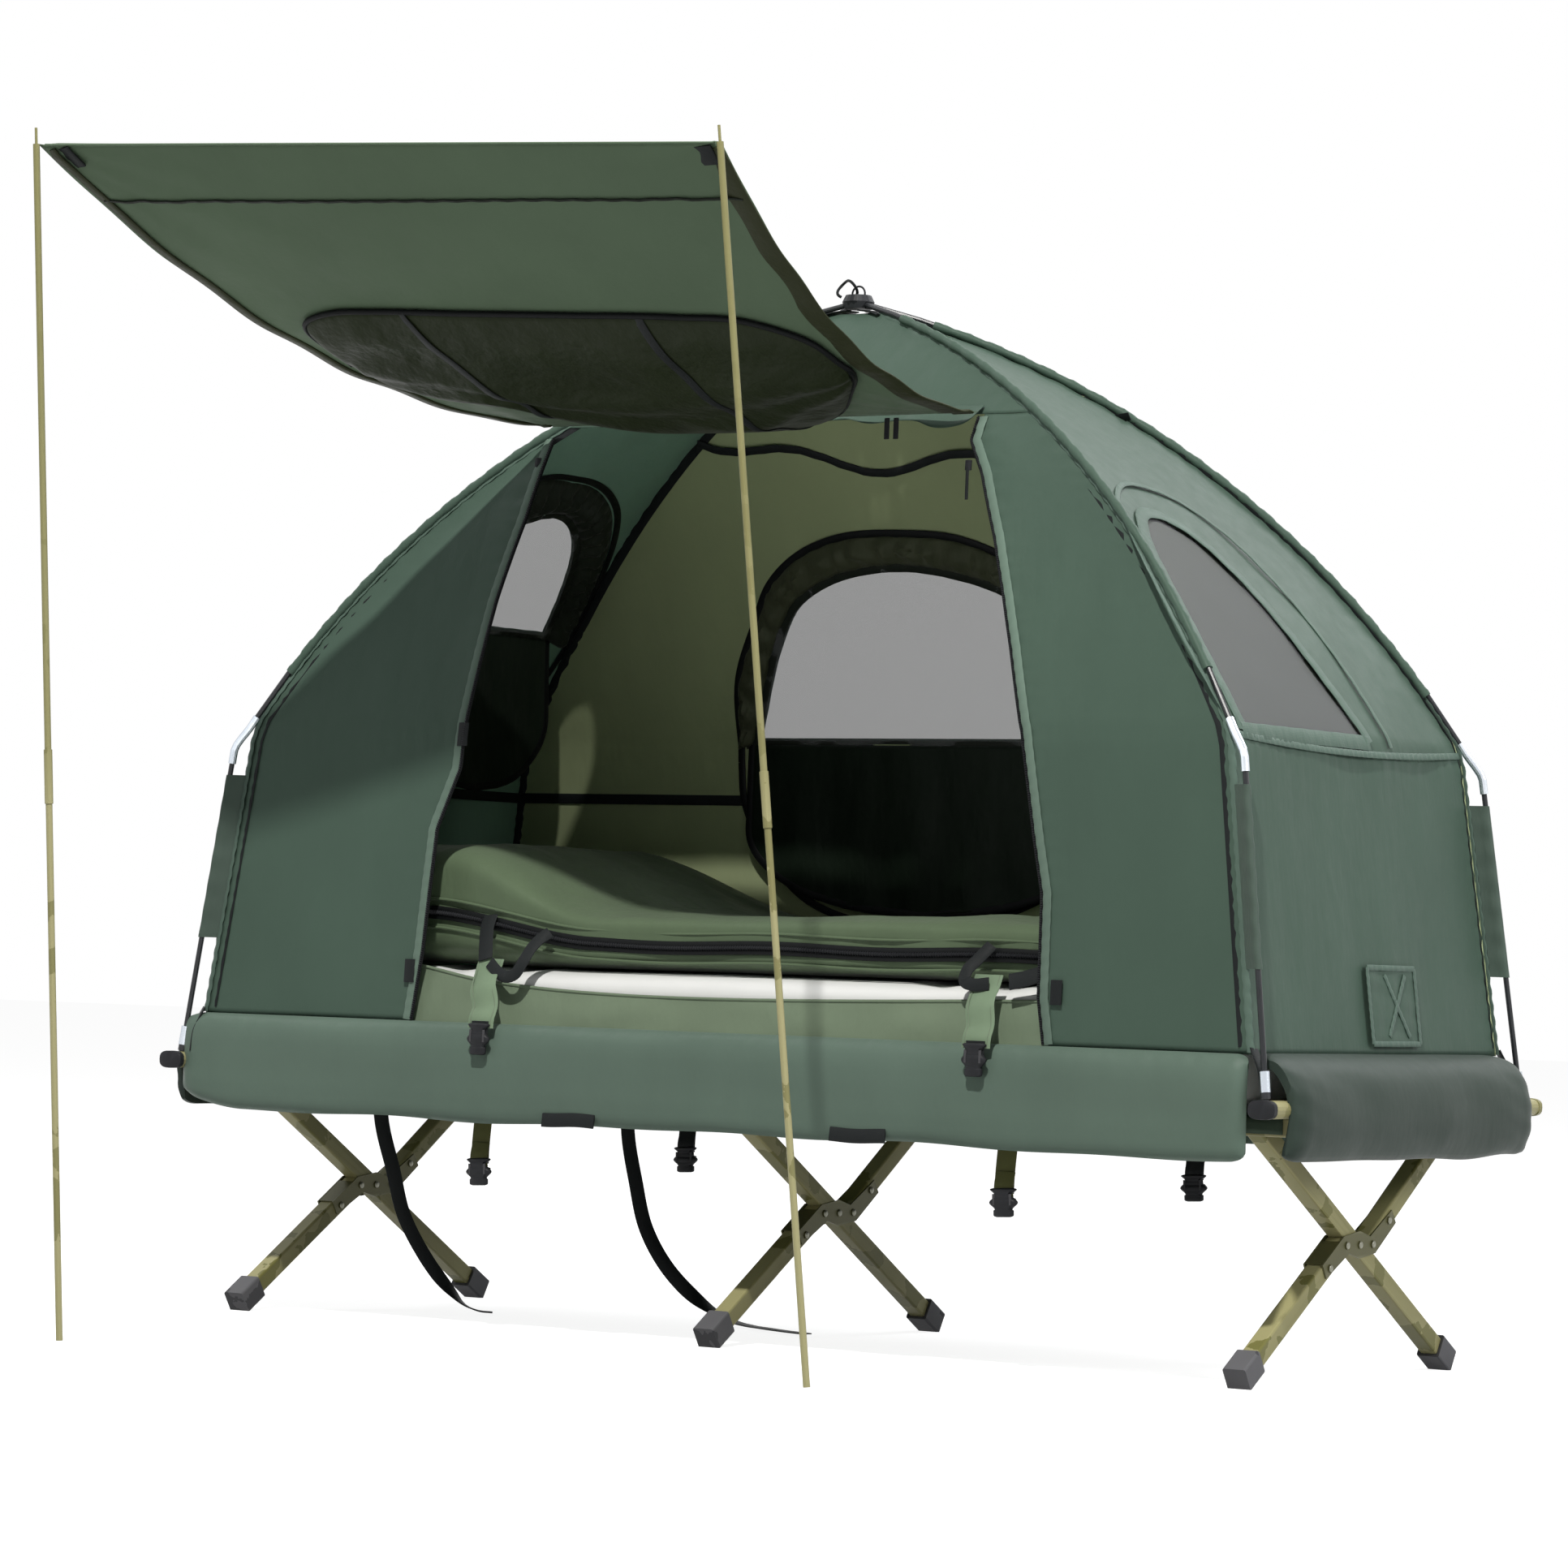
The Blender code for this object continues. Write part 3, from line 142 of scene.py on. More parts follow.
def make_sky():
    world = bpy.data.worlds.new("sky")
    bpy.context.scene.world = world
    world.use_nodes = True
    tree = world.node_tree
    back = tree.nodes["Background"]
    back.inputs["Color"].default_value = (1, 1, 1, 1)
    level = tree.nodes.new("ShaderNodeMapRange")
    level.inputs["To Min"].default_value = 0.166
    level.inputs["To Max"].default_value = 1.0
    tree.links.new(seen_directly(tree), level.inputs["Value"])
    tree.links.new(level.outputs["Result"], back.inputs["Strength"])


make_floor()
make_sky()
add_lamp("key", (2.0, -5.0, 7.8), (0, 0.2, 0.6), 0.3, 745, (1.0, 0.98, 0.94))
add_lamp("side", (7.0, 0.5, 4.2), (0, 0.2, 0.7), 3.0, 241, (1.0, 1.0, 1.0))
add_lamp("roof_glare", (1.6, 5.6, 5.8), (0.5, 0.3, 1.2), 4.0, 166, (0.95, 0.98, 1.0))
add_lamp("left_glare", (-5.4, 0.2, 6.0), (-0.4, 0, 1.1), 2.0, 76, (0.95, 0.98, 1.0))
add_lamp("fill", (-4.0, -4.5, 2.6), (0, 0.2, 0.7), 3.0, 15, (0.93, 0.97, 1.0))
bpy.context.scene.view_settings.view_transform = "Standard"


# Finishes: shared effects first. Colours are read from the photo as 8-bit screen values.
def screen(red, green, blue):
    """A screen colour as linear light."""
    return tuple((v / 255 / 12.92) if v <= 10 else ((v / 255 + 0.055) / 1.055) ** 2.4 for v in (red, green, blue))


def new_group(name, inputs, outputs):
    group = bpy.data.node_groups.new(name, "ShaderNodeTree")
    for label, kind, value in inputs:
        socket = group.interface.new_socket(name=label, in_out="INPUT", socket_type=kind)
        socket.default_value = value
    for label, kind in outputs:
        group.interface.new_socket(name=label, in_out="OUTPUT", socket_type=kind)
    return group, group.nodes.new("NodeGroupInput"), group.nodes.new("NodeGroupOutput")


def noise_node(tree, vector, scale, detail=3.0, stretch=None):
    """A noise over the object's own coordinates, drawn out along an axis where stretch says so."""
    if stretch is not None:
        mapping = tree.nodes.new("ShaderNodeMapping")
        mapping.inputs["Scale"].default_value = stretch
        tree.links.new(vector, mapping.inputs["Vector"])
        vector = mapping.outputs["Vector"]
    noise = tree.nodes.new("ShaderNodeTexNoise")
    noise.inputs["Scale"].default_value = scale
    noise.inputs["Detail"].default_value = detail
    tree.links.new(vector, noise.inputs["Vector"])
    return noise.outputs["Fac"]


def math_node(tree, operation, first, second):
    node = tree.nodes.new("ShaderNodeMath")
    node.operation = operation
    for socket, value in zip(node.inputs, (first, second)):
        if hasattr(value, "is_output"):
            tree.links.new(value, socket)
        else:
            socket.default_value = value
    return node.outputs[0]


def make_cloth_group():
    """Woven cloth: fine thread bumps, soft creases, slow random changes of tone, and painted shade and highlight along
    the folds.
    """
    group, source, sink = new_group(
        "woven_cloth",
        [("Colour", "NodeSocketColor", (0.1, 0.14, 0.11, 1)), ("Crease", "NodeSocketFloat", 0.5),
         ("Weave", "NodeSocketFloat", 0.3), ("Mottle_and_fold_shade", "NodeSocketFloat", 0.12)],
        [("Colour", "NodeSocketColor"), ("Roughness", "NodeSocketFloat"), ("Normal", "NodeSocketVector")])
    place = group.nodes.new("ShaderNodeTexCoord").outputs["Object"]
    slow = noise_node(group, place, 2.6, 4.0)
    crease = noise_node(group, place, 9.0, 5.0, (1.0, 1.0, 0.35))
    fine = noise_node(group, place, 42.0, 3.0)
    # Tone mixes slow random noise with the crease noise that also raises the folds: painted shade in the fold hollows
    # and painted highlight on their ridges.
    shade = math_node(group, "ADD", math_node(group, "MULTIPLY", slow, 0.6), math_node(group, "MULTIPLY", crease, 0.4))
    swing = math_node(group, "MULTIPLY", math_node(group, "SUBTRACT", shade, 0.5), source.outputs["Mottle_and_fold_shade"])
    gain = math_node(group, "ADD", math_node(group, "MULTIPLY", swing, 4.0), 1.0)
    tint = group.nodes.new("ShaderNodeVectorMath")
    tint.operation = "SCALE"
    group.links.new(source.outputs["Colour"], tint.inputs[0])
    group.links.new(gain, tint.inputs["Scale"])
    group.links.new(tint.outputs[0], sink.inputs["Colour"])
    group.links.new(math_node(group, "ADD", math_node(group, "MULTIPLY", fine, 0.18), 0.38), sink.inputs["Roughness"])
    threads = []
    for direction in ("X", "Z"):
        wave = group.nodes.new("ShaderNodeTexWave")
        wave.bands_direction = direction
        wave.inputs["Scale"].default_value = 260
        wave.inputs["Distortion"].default_value = 0.6
        group.links.new(place, wave.inputs["Vector"])
        threads.append(wave.outputs["Fac"])
    weave = group.nodes.new("ShaderNodeBump")
    weave.inputs["Distance"].default_value = 0.0002
    group.links.new(math_node(group, "MULTIPLY", threads[0], threads[1]), weave.inputs["Height"])
    group.links.new(source.outputs["Weave"], weave.inputs["Strength"])
    folds = group.nodes.new("ShaderNodeBump")
    folds.inputs["Distance"].default_value = 0.02
    group.links.new(crease, folds.inputs["Height"])
    group.links.new(source.outputs["Crease"], folds.inputs["Strength"])
    group.links.new(weave.outputs["Normal"], folds.inputs["Normal"])
    group.links.new(folds.outputs["Normal"], sink.inputs["Normal"])
    return group


def make_wear_group():
    """Hard finish: paler rubbed edges and corners, dust in broad patches, and a faint orange-peel bump."""
    group, source, sink = new_group(
        "edge_wear",
        [("Colour", "NodeSocketColor", (0.3, 0.3, 0.2, 1)), ("Worn", "NodeSocketColor", (0.6, 0.6, 0.5, 1)),
         ("Amount", "NodeSocketFloat", 0.4), ("Roughness", "NodeSocketFloat", 0.4)],
        [("Colour", "NodeSocketColor"), ("Roughness", "NodeSocketFloat"), ("Normal", "NodeSocketVector")])
    place = group.nodes.new("ShaderNodeTexCoord").outputs["Object"]
    patches = noise_node(group, place, 14.0, 5.0)
    grain = noise_node(group, place, 420.0, 2.0)
    point = group.nodes.new("ShaderNodeNewGeometry").outputs["Pointiness"]
    edge = group.nodes.new("ShaderNodeMapRange")
    edge.inputs["From Min"].default_value = 0.52
    edge.inputs["From Max"].default_value = 0.62
    group.links.new(point, edge.inputs["Value"])
    rubbed = math_node(group, "MULTIPLY", edge.outputs["Result"], math_node(group, "GREATER_THAN", patches, 0.45))
    dusty = math_node(group, "MULTIPLY", math_node(group, "SUBTRACT", patches, 0.35), 0.35)
    amount = math_node(group, "MULTIPLY", math_node(group, "MAXIMUM", rubbed, dusty), source.outputs["Amount"])
    mix = group.nodes.new("ShaderNodeMix")
    mix.data_type = "RGBA"
    group.links.new(amount, mix.inputs["Factor"])
    group.links.new(source.outputs["Colour"], mix.inputs[6])
    group.links.new(source.outputs["Worn"], mix.inputs[7])
    group.links.new(mix.outputs[2], sink.inputs["Colour"])
    spread = math_node(group, "MULTIPLY", math_node(group, "SUBTRACT", patches, 0.5), 0.25)
    group.links.new(math_node(group, "ADD", spread, source.outputs["Roughness"]), sink.inputs["Roughness"])
    peel = group.nodes.new("ShaderNodeBump")
    peel.inputs["Distance"].default_value = 0.0003
    peel.inputs["Strength"].default_value = 0.25
    group.links.new(grain, peel.inputs["Height"])
    group.links.new(peel.outputs["Normal"], sink.inputs["Normal"])
    return group


WOVEN_CLOTH = make_cloth_group()
EDGE_WEAR = make_wear_group()


def new_material(name, group, values, constants=()):
    """A Principled shader fed by a group's colour, roughness and normal, with its constants on its own sockets."""
    mat = bpy.data.materials.new(name)
    mat.use_nodes = True
    tree = mat.node_tree
    shader = tree.nodes["Principled BSDF"]
    node = tree.nodes.new("ShaderNodeGroup")
    node.node_tree = group
    for label, value in values.items():
        node.inputs[label].default_value = (*value, 1) if isinstance(value, tuple) else value
    tree.links.new(node.outputs["Colour"], shader.inputs["Base Color"])
    tree.links.new(node.outputs["Roughness"], shader.inputs["Roughness"])
    tree.links.new(node.outputs["Normal"], shader.inputs["Normal"])
    for label, value in dict(constants).items():
        shader.inputs[label].default_value = value
    return mat


def cloth(name, colour, crease=0.35, weave=0.25, mottle_and_fold_shade=0.10, sheen=0.15, specular=0.10):
    return new_material(name, WOVEN_CLOTH, {"Colour": colour, "Crease": crease, "Weave": weave, "Mottle_and_fold_shade": mottle_and_fold_shade},
                        {"Sheen Weight": sheen * 0.5, "Sheen Roughness": 0.4, "Specular IOR Level": specular})


def hard(name, colour, worn, amount, roughness, metallic=0.0, coat=0.0, specular=0.15):
    return new_material(name, EDGE_WEAR, {"Colour": colour, "Worn": worn, "Amount": amount, "Roughness": roughness},
                        {"Metallic": metallic, "Coat Weight": coat, "Coat Roughness": 0.25,
                         "Specular IOR Level": specular})


KHAKI_COAT = hard("khaki_coat", screen(133, 130, 89), screen(195, 189, 148), 0.45, 0.42, 0.0, 0.03)
LEG_COAT = hard("leg_coat", screen(114, 112, 65), screen(189, 183, 140), 0.5, 0.45, 0.0, 0.03)
BRACKET_COAT = hard("bracket_coat", screen(82, 81, 49), screen(177, 175, 142), 0.5, 0.4, 0.2, 0.05)
CAP_PLASTIC = hard("cap_plastic", screen(68, 68, 71), screen(131, 131, 135), 0.4, 0.6)
BLACK_PLASTIC = hard("black_plastic", screen(33, 34, 37), screen(96, 98, 103), 0.35, 0.45)
ROD_GLOSS = hard("rod_gloss", screen(30, 32, 35), screen(72, 75, 79), 0.3, 0.3, 0.0, 0.4)
BRIGHT_TUBE = hard("bright_tube", screen(205, 212, 220), screen(235, 240, 245), 0.5, 0.25, 1.0)
WEB_BLACK = cloth("web_black", screen(30, 33, 34), 0.1, 0.9, 0.25, 0.1)


# Two storage straps of flat black webbing, sewn under the bed cloth and hanging to the floor, where their ends lie.
# Each is a thin ribbon swept along its route, turning a little as it hangs.
STRAP_WIDTH = 0.022
STRAP_SHEET = 0.0018
LEFT_STRAP_ROUTE = ((-.724, -.150, .3626), (-.724, -.150, .330), (-.720, -.150, .294), (-.700, -.142, .215),
                    (-.686, -.130, .148), (-.668, -.112, .100), (-.648, -.095, .062), (-.628, -.080, .034),
                    (-.612, -.066, .014), (-.596, -.052, .006), (-.580, -.040, .0045))
RIGHT_STRAP_ROUTE = ((-.412, .060, .3626), (-.412, .060, .330), (-.410, .060, .286), (-.394, .062, .210),
                     (-.374, .065, .140), (-.340, .072, .085), (-.300, .082, .045), (-.262, .090, .020),
                     (-.225, .088, .008), (-.185, .072, .0045), (-.145, .050, .0045), (-.105, .030, .0045),
                     (-.065, .014, .0045), (-.040, .006, .0045))


def placed(points):
    """Places measured from the upright line through the hub, put into the frame."""
    return np.asarray(points, float) + np.array([0, MIDDLE_Y, 0])


def smooth_line(points, count):
    """A cubic Hermite curve through the points, its slopes their finite differences, evenly stepped."""
    points = np.asarray(points, float)
    steps = np.concatenate([[0], np.cumsum(np.linalg.norm(np.diff(points, axis=0), axis=1))])
    slopes = np.gradient(points, steps, axis=0)
    where = np.linspace(0, steps[-1], count)
    index = np.clip(np.searchsorted(steps, where, side="right") - 1, 0, len(points) - 2)
    width = (steps[index + 1] - steps[index])[:, None]
    t = (where - steps[index])[:, None] / width
    return ((1 + 2 * t) * (1 - t) ** 2 * points[index] + t * (1 - t) ** 2 * width * slopes[index]
            + t ** 2 * (3 - 2 * t) * points[index + 1] + t ** 2 * (t - 1) * width * slopes[index + 1])


def add_mesh(name, points, quads, material, body):
    points = np.asarray(points, np.float32).reshape(-1, 3)
    quads = np.asarray(quads, np.int32).reshape(-1, 4)
    mesh = bpy.data.meshes.new(name)
    mesh.vertices.add(len(points))
    mesh.vertices.foreach_set("co", points.ravel())
    mesh.loops.add(quads.size)
    mesh.loops.foreach_set("vertex_index", quads.ravel())
    mesh.polygons.add(len(quads))
    mesh.polygons.foreach_set("loop_start", np.arange(0, quads.size, 4, dtype=np.int32))
    mesh.update(calc_edges=True)
    mesh.shade_smooth()
    mesh.set_sharp_from_angle(angle=math.radians(50))
    mesh.materials.append(material)
    obj = bpy.data.objects.new(name, mesh)
    bpy.context.scene.collection.objects.link(obj)
    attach(obj, body)
    return obj


def ring_quads(rows, count, closed=True):
    """Quads of rows of points joined round into a tube, with flat ends that are strips of quads."""
    row, side = np.meshgrid(np.arange(rows - 1), np.arange(count), indexing="ij")
    after = (side + 1) % count
    quads = np.stack([row * count + side, row * count + after, (row + 1) * count + after,
                      (row + 1) * count + side], -1).reshape(-1, 4)
    if not closed:
        return quads
    step = np.arange(count // 2 - 1)
    cap = np.stack([count - 1 - step, count - 2 - step, step + 1, step], -1)
    return np.concatenate([quads, cap, cap[:, ::-1] + (rows - 1) * count])


def swept(path, section, upward):
    """A section (across, up) carried along a path, its up following upward; one section or one for each point."""
    path = np.asarray(path, float)
    along = np.gradient(path, axis=0)
    along /= np.linalg.norm(along, axis=1)[:, None]
    upward = np.broadcast_to(np.asarray(upward, float), path.shape)
    across = np.cross(along, upward)
    across /= np.linalg.norm(across, axis=1)[:, None]
    up = np.cross(across, along)
    section = np.broadcast_to(section, (len(path), *np.shape(section)[-2:]))
    return path[:, None] + section[..., :1] * across[:, None] + section[..., 1:] * up[:, None]


def ribbon_section(width, thickness):
    """A flat section with eight points and softened edges."""
    half, edge, up = width / 2, width / 2 - thickness / 2, thickness / 2
    return np.array([(half, -up / 3), (half, up / 3), (edge, up), (-edge, up), (-half, up / 3), (-half, -up / 3),
                     (-edge, -up), (edge, -up)])


def round_section(radius, count=12):
    turn = np.linspace(0, 2 * math.pi, count, endpoint=False)
    return np.stack([radius * np.cos(turn), radius * np.sin(turn)], 1)


def add_swept(name, path, section, upward, material, body):
    points = swept(path, section, upward)
    return add_mesh(name, points, ring_quads(points.shape[0], points.shape[1]), material, body)


def add_strap(name, node, route, turn_start, turn_end):
    """The ribbon's face turns from turn_start to turn_end round the route and is level on the floor."""
    path = placed(smooth_line(route, 90))
    path[:, 2] = np.maximum(path[:, 2], STRAP_SHEET)
    angle = np.linspace(turn_start, turn_end, len(path))
    upward = np.stack([np.cos(angle), np.sin(angle), np.zeros(len(path))], 1)
    level = np.clip(1 - (path[:, 2] - 0.01) / 0.05, 0, 1)[:, None]
    upward = upward * (1 - level) + np.array([0, 0, 1]) * level
    strap = add_swept(name, path, ribbon_section(STRAP_WIDTH, STRAP_SHEET), upward, WEB_BLACK, "cot_frame")
    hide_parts(node)
    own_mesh(strap)


add_strap("strap_left_band", "strap_left", LEFT_STRAP_ROUTE, -1.0, -0.2)
add_strap("strap_right_band", "strap_right", RIGHT_STRAP_ROUTE, -0.5, -1.3)


# The steel, plastic and glass-fibre pieces keep their shapes and are given their finishes here: powder-coated
# square tubes and pressed brackets, moulded foot caps, black rods with bright tube elbows, khaki awning poles.
def give_finishes():
    finishes = {"leg_a": LEG_COAT, "leg_b": LEG_COAT, "scissor_bracket": BRACKET_COAT, "rail": KHAKI_COAT,
                "spreader": KHAKI_COAT, "foot_cap": CAP_PLASTIC, "hub": BLACK_PLASTIC, "pole_upper": ROD_GLOSS,
                "pole_lower": ROD_GLOSS, "pole_elbow": BRIGHT_TUBE, "awning_pole": KHAKI_COAT}
    for name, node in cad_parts.items():
        for start, material in finishes.items():
            if name.startswith(start):
                node.data.materials.clear()
                node.data.materials.append(material)


give_finishes()


# Four canopy walls and the front's two halves and roof: light coated polyester, cut straight across between the
# four corner seams that follow the poles, sewn along a shoulder seam and to the skirts below.
# The cloth is a fine grid on that form, drawn in a little between the poles and rumpled along its seams.
HUB_HEIGHT = 1.525
ARC_RADIUS = 1.490
ARC_START_ANGLE = math.radians(76.58)
ARC_END_ANGLE = math.radians(33.27)
CANOPY_INSET = 0.0065
POLE_ANGLE = math.atan2(0.3787, 0.9255)
POLE_X = math.cos(POLE_ANGLE)
POLE_Y = math.sin(POLE_ANGLE)
SEAM_HEIGHT = 0.447
SEAM_REACH = 0.965
SHOULDER_HEIGHT = 0.860
SHOULDER_REACH = 0.905
APEX_REACH = 0.040
DOOR_TOP = 1.335
CLOTH_SHEET = 0.0010
ARC_CENTRE_R = -ARC_RADIUS * math.cos(ARC_START_ANGLE)
ARC_CENTRE_Z = HUB_HEIGHT - ARC_RADIUS * math.sin(ARC_START_ANGLE)
CLOTH_RADIUS = ARC_RADIUS - CANOPY_INSET
ARC_LOW_REACH = ARC_CENTRE_R + CLOTH_RADIUS * math.cos(ARC_END_ANGLE)
ARC_LOW = ARC_CENTRE_Z + CLOTH_RADIUS * math.sin(ARC_END_ANGLE)
APEX_HEIGHT = ARC_CENTRE_Z + math.sqrt(CLOTH_RADIUS ** 2 - (APEX_REACH - ARC_CENTRE_R) ** 2)
CANOPY_RISE = HUB_HEIGHT - SEAM_HEIGHT
LEFT_ZIP = ((0, -.552), (.097, -.538), (.18, -.532), (.263, -.525), (.345, -.487), (.448, -.481),
            (.579, -.474), (.691, -.460), (.81, -.458))
RIGHT_ZIP = ((0, .627), (.06, .614), (.191, .610), (.262, .591), (.396, .559), (.506, .515),
             (.573, .485), (.651, .446), (.74, .392), (.786, .354), (.839, .352))
RIGHT_WINDOW = ((-.797, .402), (-.755, .523), (-.56, .66), (-.45, .685), (-.327, .689), (-.156, .665),
                (-.058, .616), (.005, .561), (.061, .499), (.172, .402))
LEFT_WINDOW = ((-.38, .558), (-.30, .64), (-.18, .70), (.008, .724), (.2, .712), (.364, .68),
               (.504, .622), (.591, .558))
REAR_WINDOW = ((-.42, .408), (-.342, .562), (-.308, .603), (-.226, .642), (-.137, .658), (-.066, .66),
               (.023, .649), (.11, .626), (.165, .598), (.21, .55), (.28, .408))
CLOTH_GREEN = cloth("tent_cloth", screen(71, 90, 79), 0.30, 0.2, 0.10, 0.05, 0.12)
INNER_OLIVE = cloth("inner_olive", screen(170, 182, 140), 0.30, 0.2, 0.10, 0.1, 0.08)
INNER_GREEN = cloth("inner_green", screen(128, 163, 145), 0.30, 0.2, 0.10, 0.1, 0.08)


def corner_reach(z):
    """Distance of the corner seam from the middle: an arc inside the rods above, straight lines below it."""
    z = np.asarray(z, float)
    arc = ARC_CENTRE_R + np.sqrt(np.maximum(CLOTH_RADIUS ** 2 - (z - ARC_CENTRE_Z) ** 2, 0))
    low = np.interp(z, (SEAM_HEIGHT, SHOULDER_HEIGHT, ARC_LOW), (SEAM_REACH, SHOULDER_REACH, ARC_LOW_REACH))
    return np.where(z >= ARC_LOW, arc, low)


def on_wall(wall, across, height, out=0.0):
    """Points on a wall at a distance across and a height, moved out square to it."""
    across, height, out = np.broadcast_arrays(np.asarray(across, float), np.asarray(height, float), out)
    front_or_rear = wall in ("front", "rear")
    side = -1 if wall in ("front", "left") else 1
    half = POLE_Y if front_or_rear else POLE_X
    reach = corner_reach(height)
    step = 0.002
    fall = half * (reach - corner_reach(np.minimum(height + step, APEX_HEIGHT + step))) / step
    length = np.hypot(1, fall)
    face = side * half * reach + out * side / length
    level = height + out * fall / length
    if front_or_rear:
        return placed(np.stack([across, face, level], -1))
    return placed(np.stack([face, across, level], -1))


def wall_normal(wall, across, height):
    return on_wall(wall, across, height, 1.0) - on_wall(wall, across, height, 0.0)


def wall_heights(low, high, step):
    """Heights from low to high whose steps are even along the corner seam."""
    dense = np.linspace(low, high, 400)
    run = np.concatenate([[0], np.cumsum(np.hypot(np.diff(dense), np.diff(corner_reach(dense))))])
    return np.interp(np.linspace(0, run[-1], max(3, round(run[-1] / step) + 1)), run, dense)


def rumple(first, second, size, seed):
    """A soft uneven field between -1 and 1: eight sine waves of random direction, length and phase."""
    rng = np.random.default_rng(seed)
    total = np.zeros(np.broadcast(first, second).shape)
    for _ in range(8):
        turn, phase = rng.uniform(0, 2 * math.pi, 2)
        length = size * rng.uniform(0.5, 1.6)
        total = total + np.sin(2 * math.pi * (first * math.cos(turn) + second * math.sin(turn)) / length + phase)
    return total / 4


def inside(outline, first, second):
    """Which points lie inside a closed outline, counting the edges that a level line crosses."""
    hits = np.zeros(np.shape(first), bool)
    for (ax, az), (bx, bz) in zip(outline, np.roll(outline, -1, axis=0)):
        crosses = (az > second) != (bz > second)
        rise = bz - az if bz != az else 1.0
        hits ^= crosses & (first < ax + (second - az) * (bx - ax) / rise)
    return hits


def window_outline(wall, shares):
    """The window's curved head as a smooth line from sill to sill, (across, height)."""
    half = POLE_X if wall in ("front", "rear") else POLE_Y
    points = [(half * across, SEAM_HEIGHT + CANOPY_RISE * up) for across, up in shares]
    return smooth_line(points, 60)


def grid_quads(rows, columns, keep=None):
    row, column = np.meshgrid(np.arange(rows - 1), np.arange(columns - 1), indexing="ij")
    start = row * columns + column
    quads = np.stack([start, start + 1, start + columns + 1, start + columns], -1)
    return quads.reshape(-1, 4) if keep is None else quads[keep]


def add_cloth(name, grid, material, body, thickness, keep=None):
    """A sheet of even thickness on a grid of points, with the cells that keep leaves out missing."""
    rows, columns = grid.shape[:2]
    quads = grid_quads(rows, columns, keep)
    used, quads = np.unique(quads, return_inverse=True)
    obj = add_mesh(name, grid.reshape(-1, 3)[used], quads.reshape(-1, 4), material, body)
    wall = obj.modifiers.new("thickness", "SOLIDIFY")
    wall.thickness = thickness
    wall.offset = 0
    return obj


def wall_grid(wall, low, high, low_edge, high_edge, step, seed):
    """Rows up a wall between two edges given as functions of height, drawn in between the poles."""
    heights = wall_heights(low, high, step)
    first, last = low_edge(heights), high_edge(heights)
    share = np.linspace(0, 1, max(3, round(float((last - first).max()) / step) + 1))
    across = first[:, None] + (last - first)[:, None] * share[None]
    height = np.repeat(heights[:, None], len(share), axis=1)
    border = np.minimum(share, 1 - share)[None] * (last - first)[:, None]
    free = 1 - np.exp(-border / 0.05)
    seam = np.exp(-border / 0.02)
    level = np.abs(height - SHOULDER_HEIGHT)
    drawn = 0.0022 * free * (1 + rumple(across, height, 0.30, seed))
    pucker = 0.0010 * seam * np.sin(height / 0.0042 + 3 * rumple(across, height, 0.1, seed + 1))
    shoulder = 0.0009 * np.exp(-level / 0.015) * np.sin(across / 0.0040 + 2 * rumple(across, height, 0.1, seed + 2))
    return on_wall(wall, across, height, -0.0015 - drawn + pucker + shoulder), across, height


def edge_of(side):
    return lambda z: side * POLE_X * corner_reach(z)


def zip_line(shares):
    heights = [SEAM_HEIGHT + up * CANOPY_RISE for up, _ in shares]
    return lambda z: np.interp(z, heights, [across * POLE_X for _, across in shares])


def add_wall(name, node, wall, low, high, low_edge, high_edge, seed, window=None):
    grid, across, height = wall_grid(wall, low, high, low_edge, high_edge, 0.009, seed)
    keep = None
    if window is not None:
        middle_across = (across[1:, 1:] + across[:-1, :-1]) / 2
        middle_height = (height[1:, 1:] + height[:-1, :-1]) / 2
        keep = ~inside(window, middle_across, middle_height)
    facing = np.cross(grid[0, 1] - grid[0, 0], grid[1, 0] - grid[0, 0])
    if facing @ wall_normal(wall, across[0, 0], height[0, 0]) < 0:
        grid, keep = grid[:, ::-1], None if keep is None else keep[:, ::-1]
    obj = add_cloth(name, grid, CLOTH_GREEN, "tent", CLOTH_SHEET, keep)
    obj.data.materials.append(INNER_OLIVE if wall == "rear" else INNER_GREEN)
    obj.modifiers["thickness"].material_offset = 1
    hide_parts(node)


REAR_HEAD = window_outline("rear", REAR_WINDOW)
LEFT_HEAD = window_outline("left", LEFT_WINDOW)
RIGHT_HEAD = window_outline("right", RIGHT_WINDOW)
LEFT_ZIP_TOP = SEAM_HEIGHT + LEFT_ZIP[-1][0] * CANOPY_RISE
across_end = (lambda z: -POLE_Y * corner_reach(z), lambda z: POLE_Y * corner_reach(z))
add_wall("front_left_cloth", "canopy_front_left", "front", SEAM_HEIGHT, LEFT_ZIP_TOP, edge_of(-1), zip_line(LEFT_ZIP), 11)
add_wall("front_right_cloth", "canopy_front_right", "front", SEAM_HEIGHT, DOOR_TOP, zip_line(RIGHT_ZIP), edge_of(1), 12)
add_wall("roof_front_cloth", "canopy_roof_front", "front", DOOR_TOP, APEX_HEIGHT, edge_of(-1), edge_of(1), 13)
add_wall("rear_cloth", "canopy_rear", "rear", SEAM_HEIGHT, APEX_HEIGHT, edge_of(-1), edge_of(1), 14, REAR_HEAD)
add_wall("left_end_cloth", "canopy_left_end", "left", SEAM_HEIGHT, APEX_HEIGHT, *across_end, 15, LEFT_HEAD)
add_wall("right_end_cloth", "canopy_right_end", "right", SEAM_HEIGHT, APEX_HEIGHT, *across_end, 16, RIGHT_HEAD)


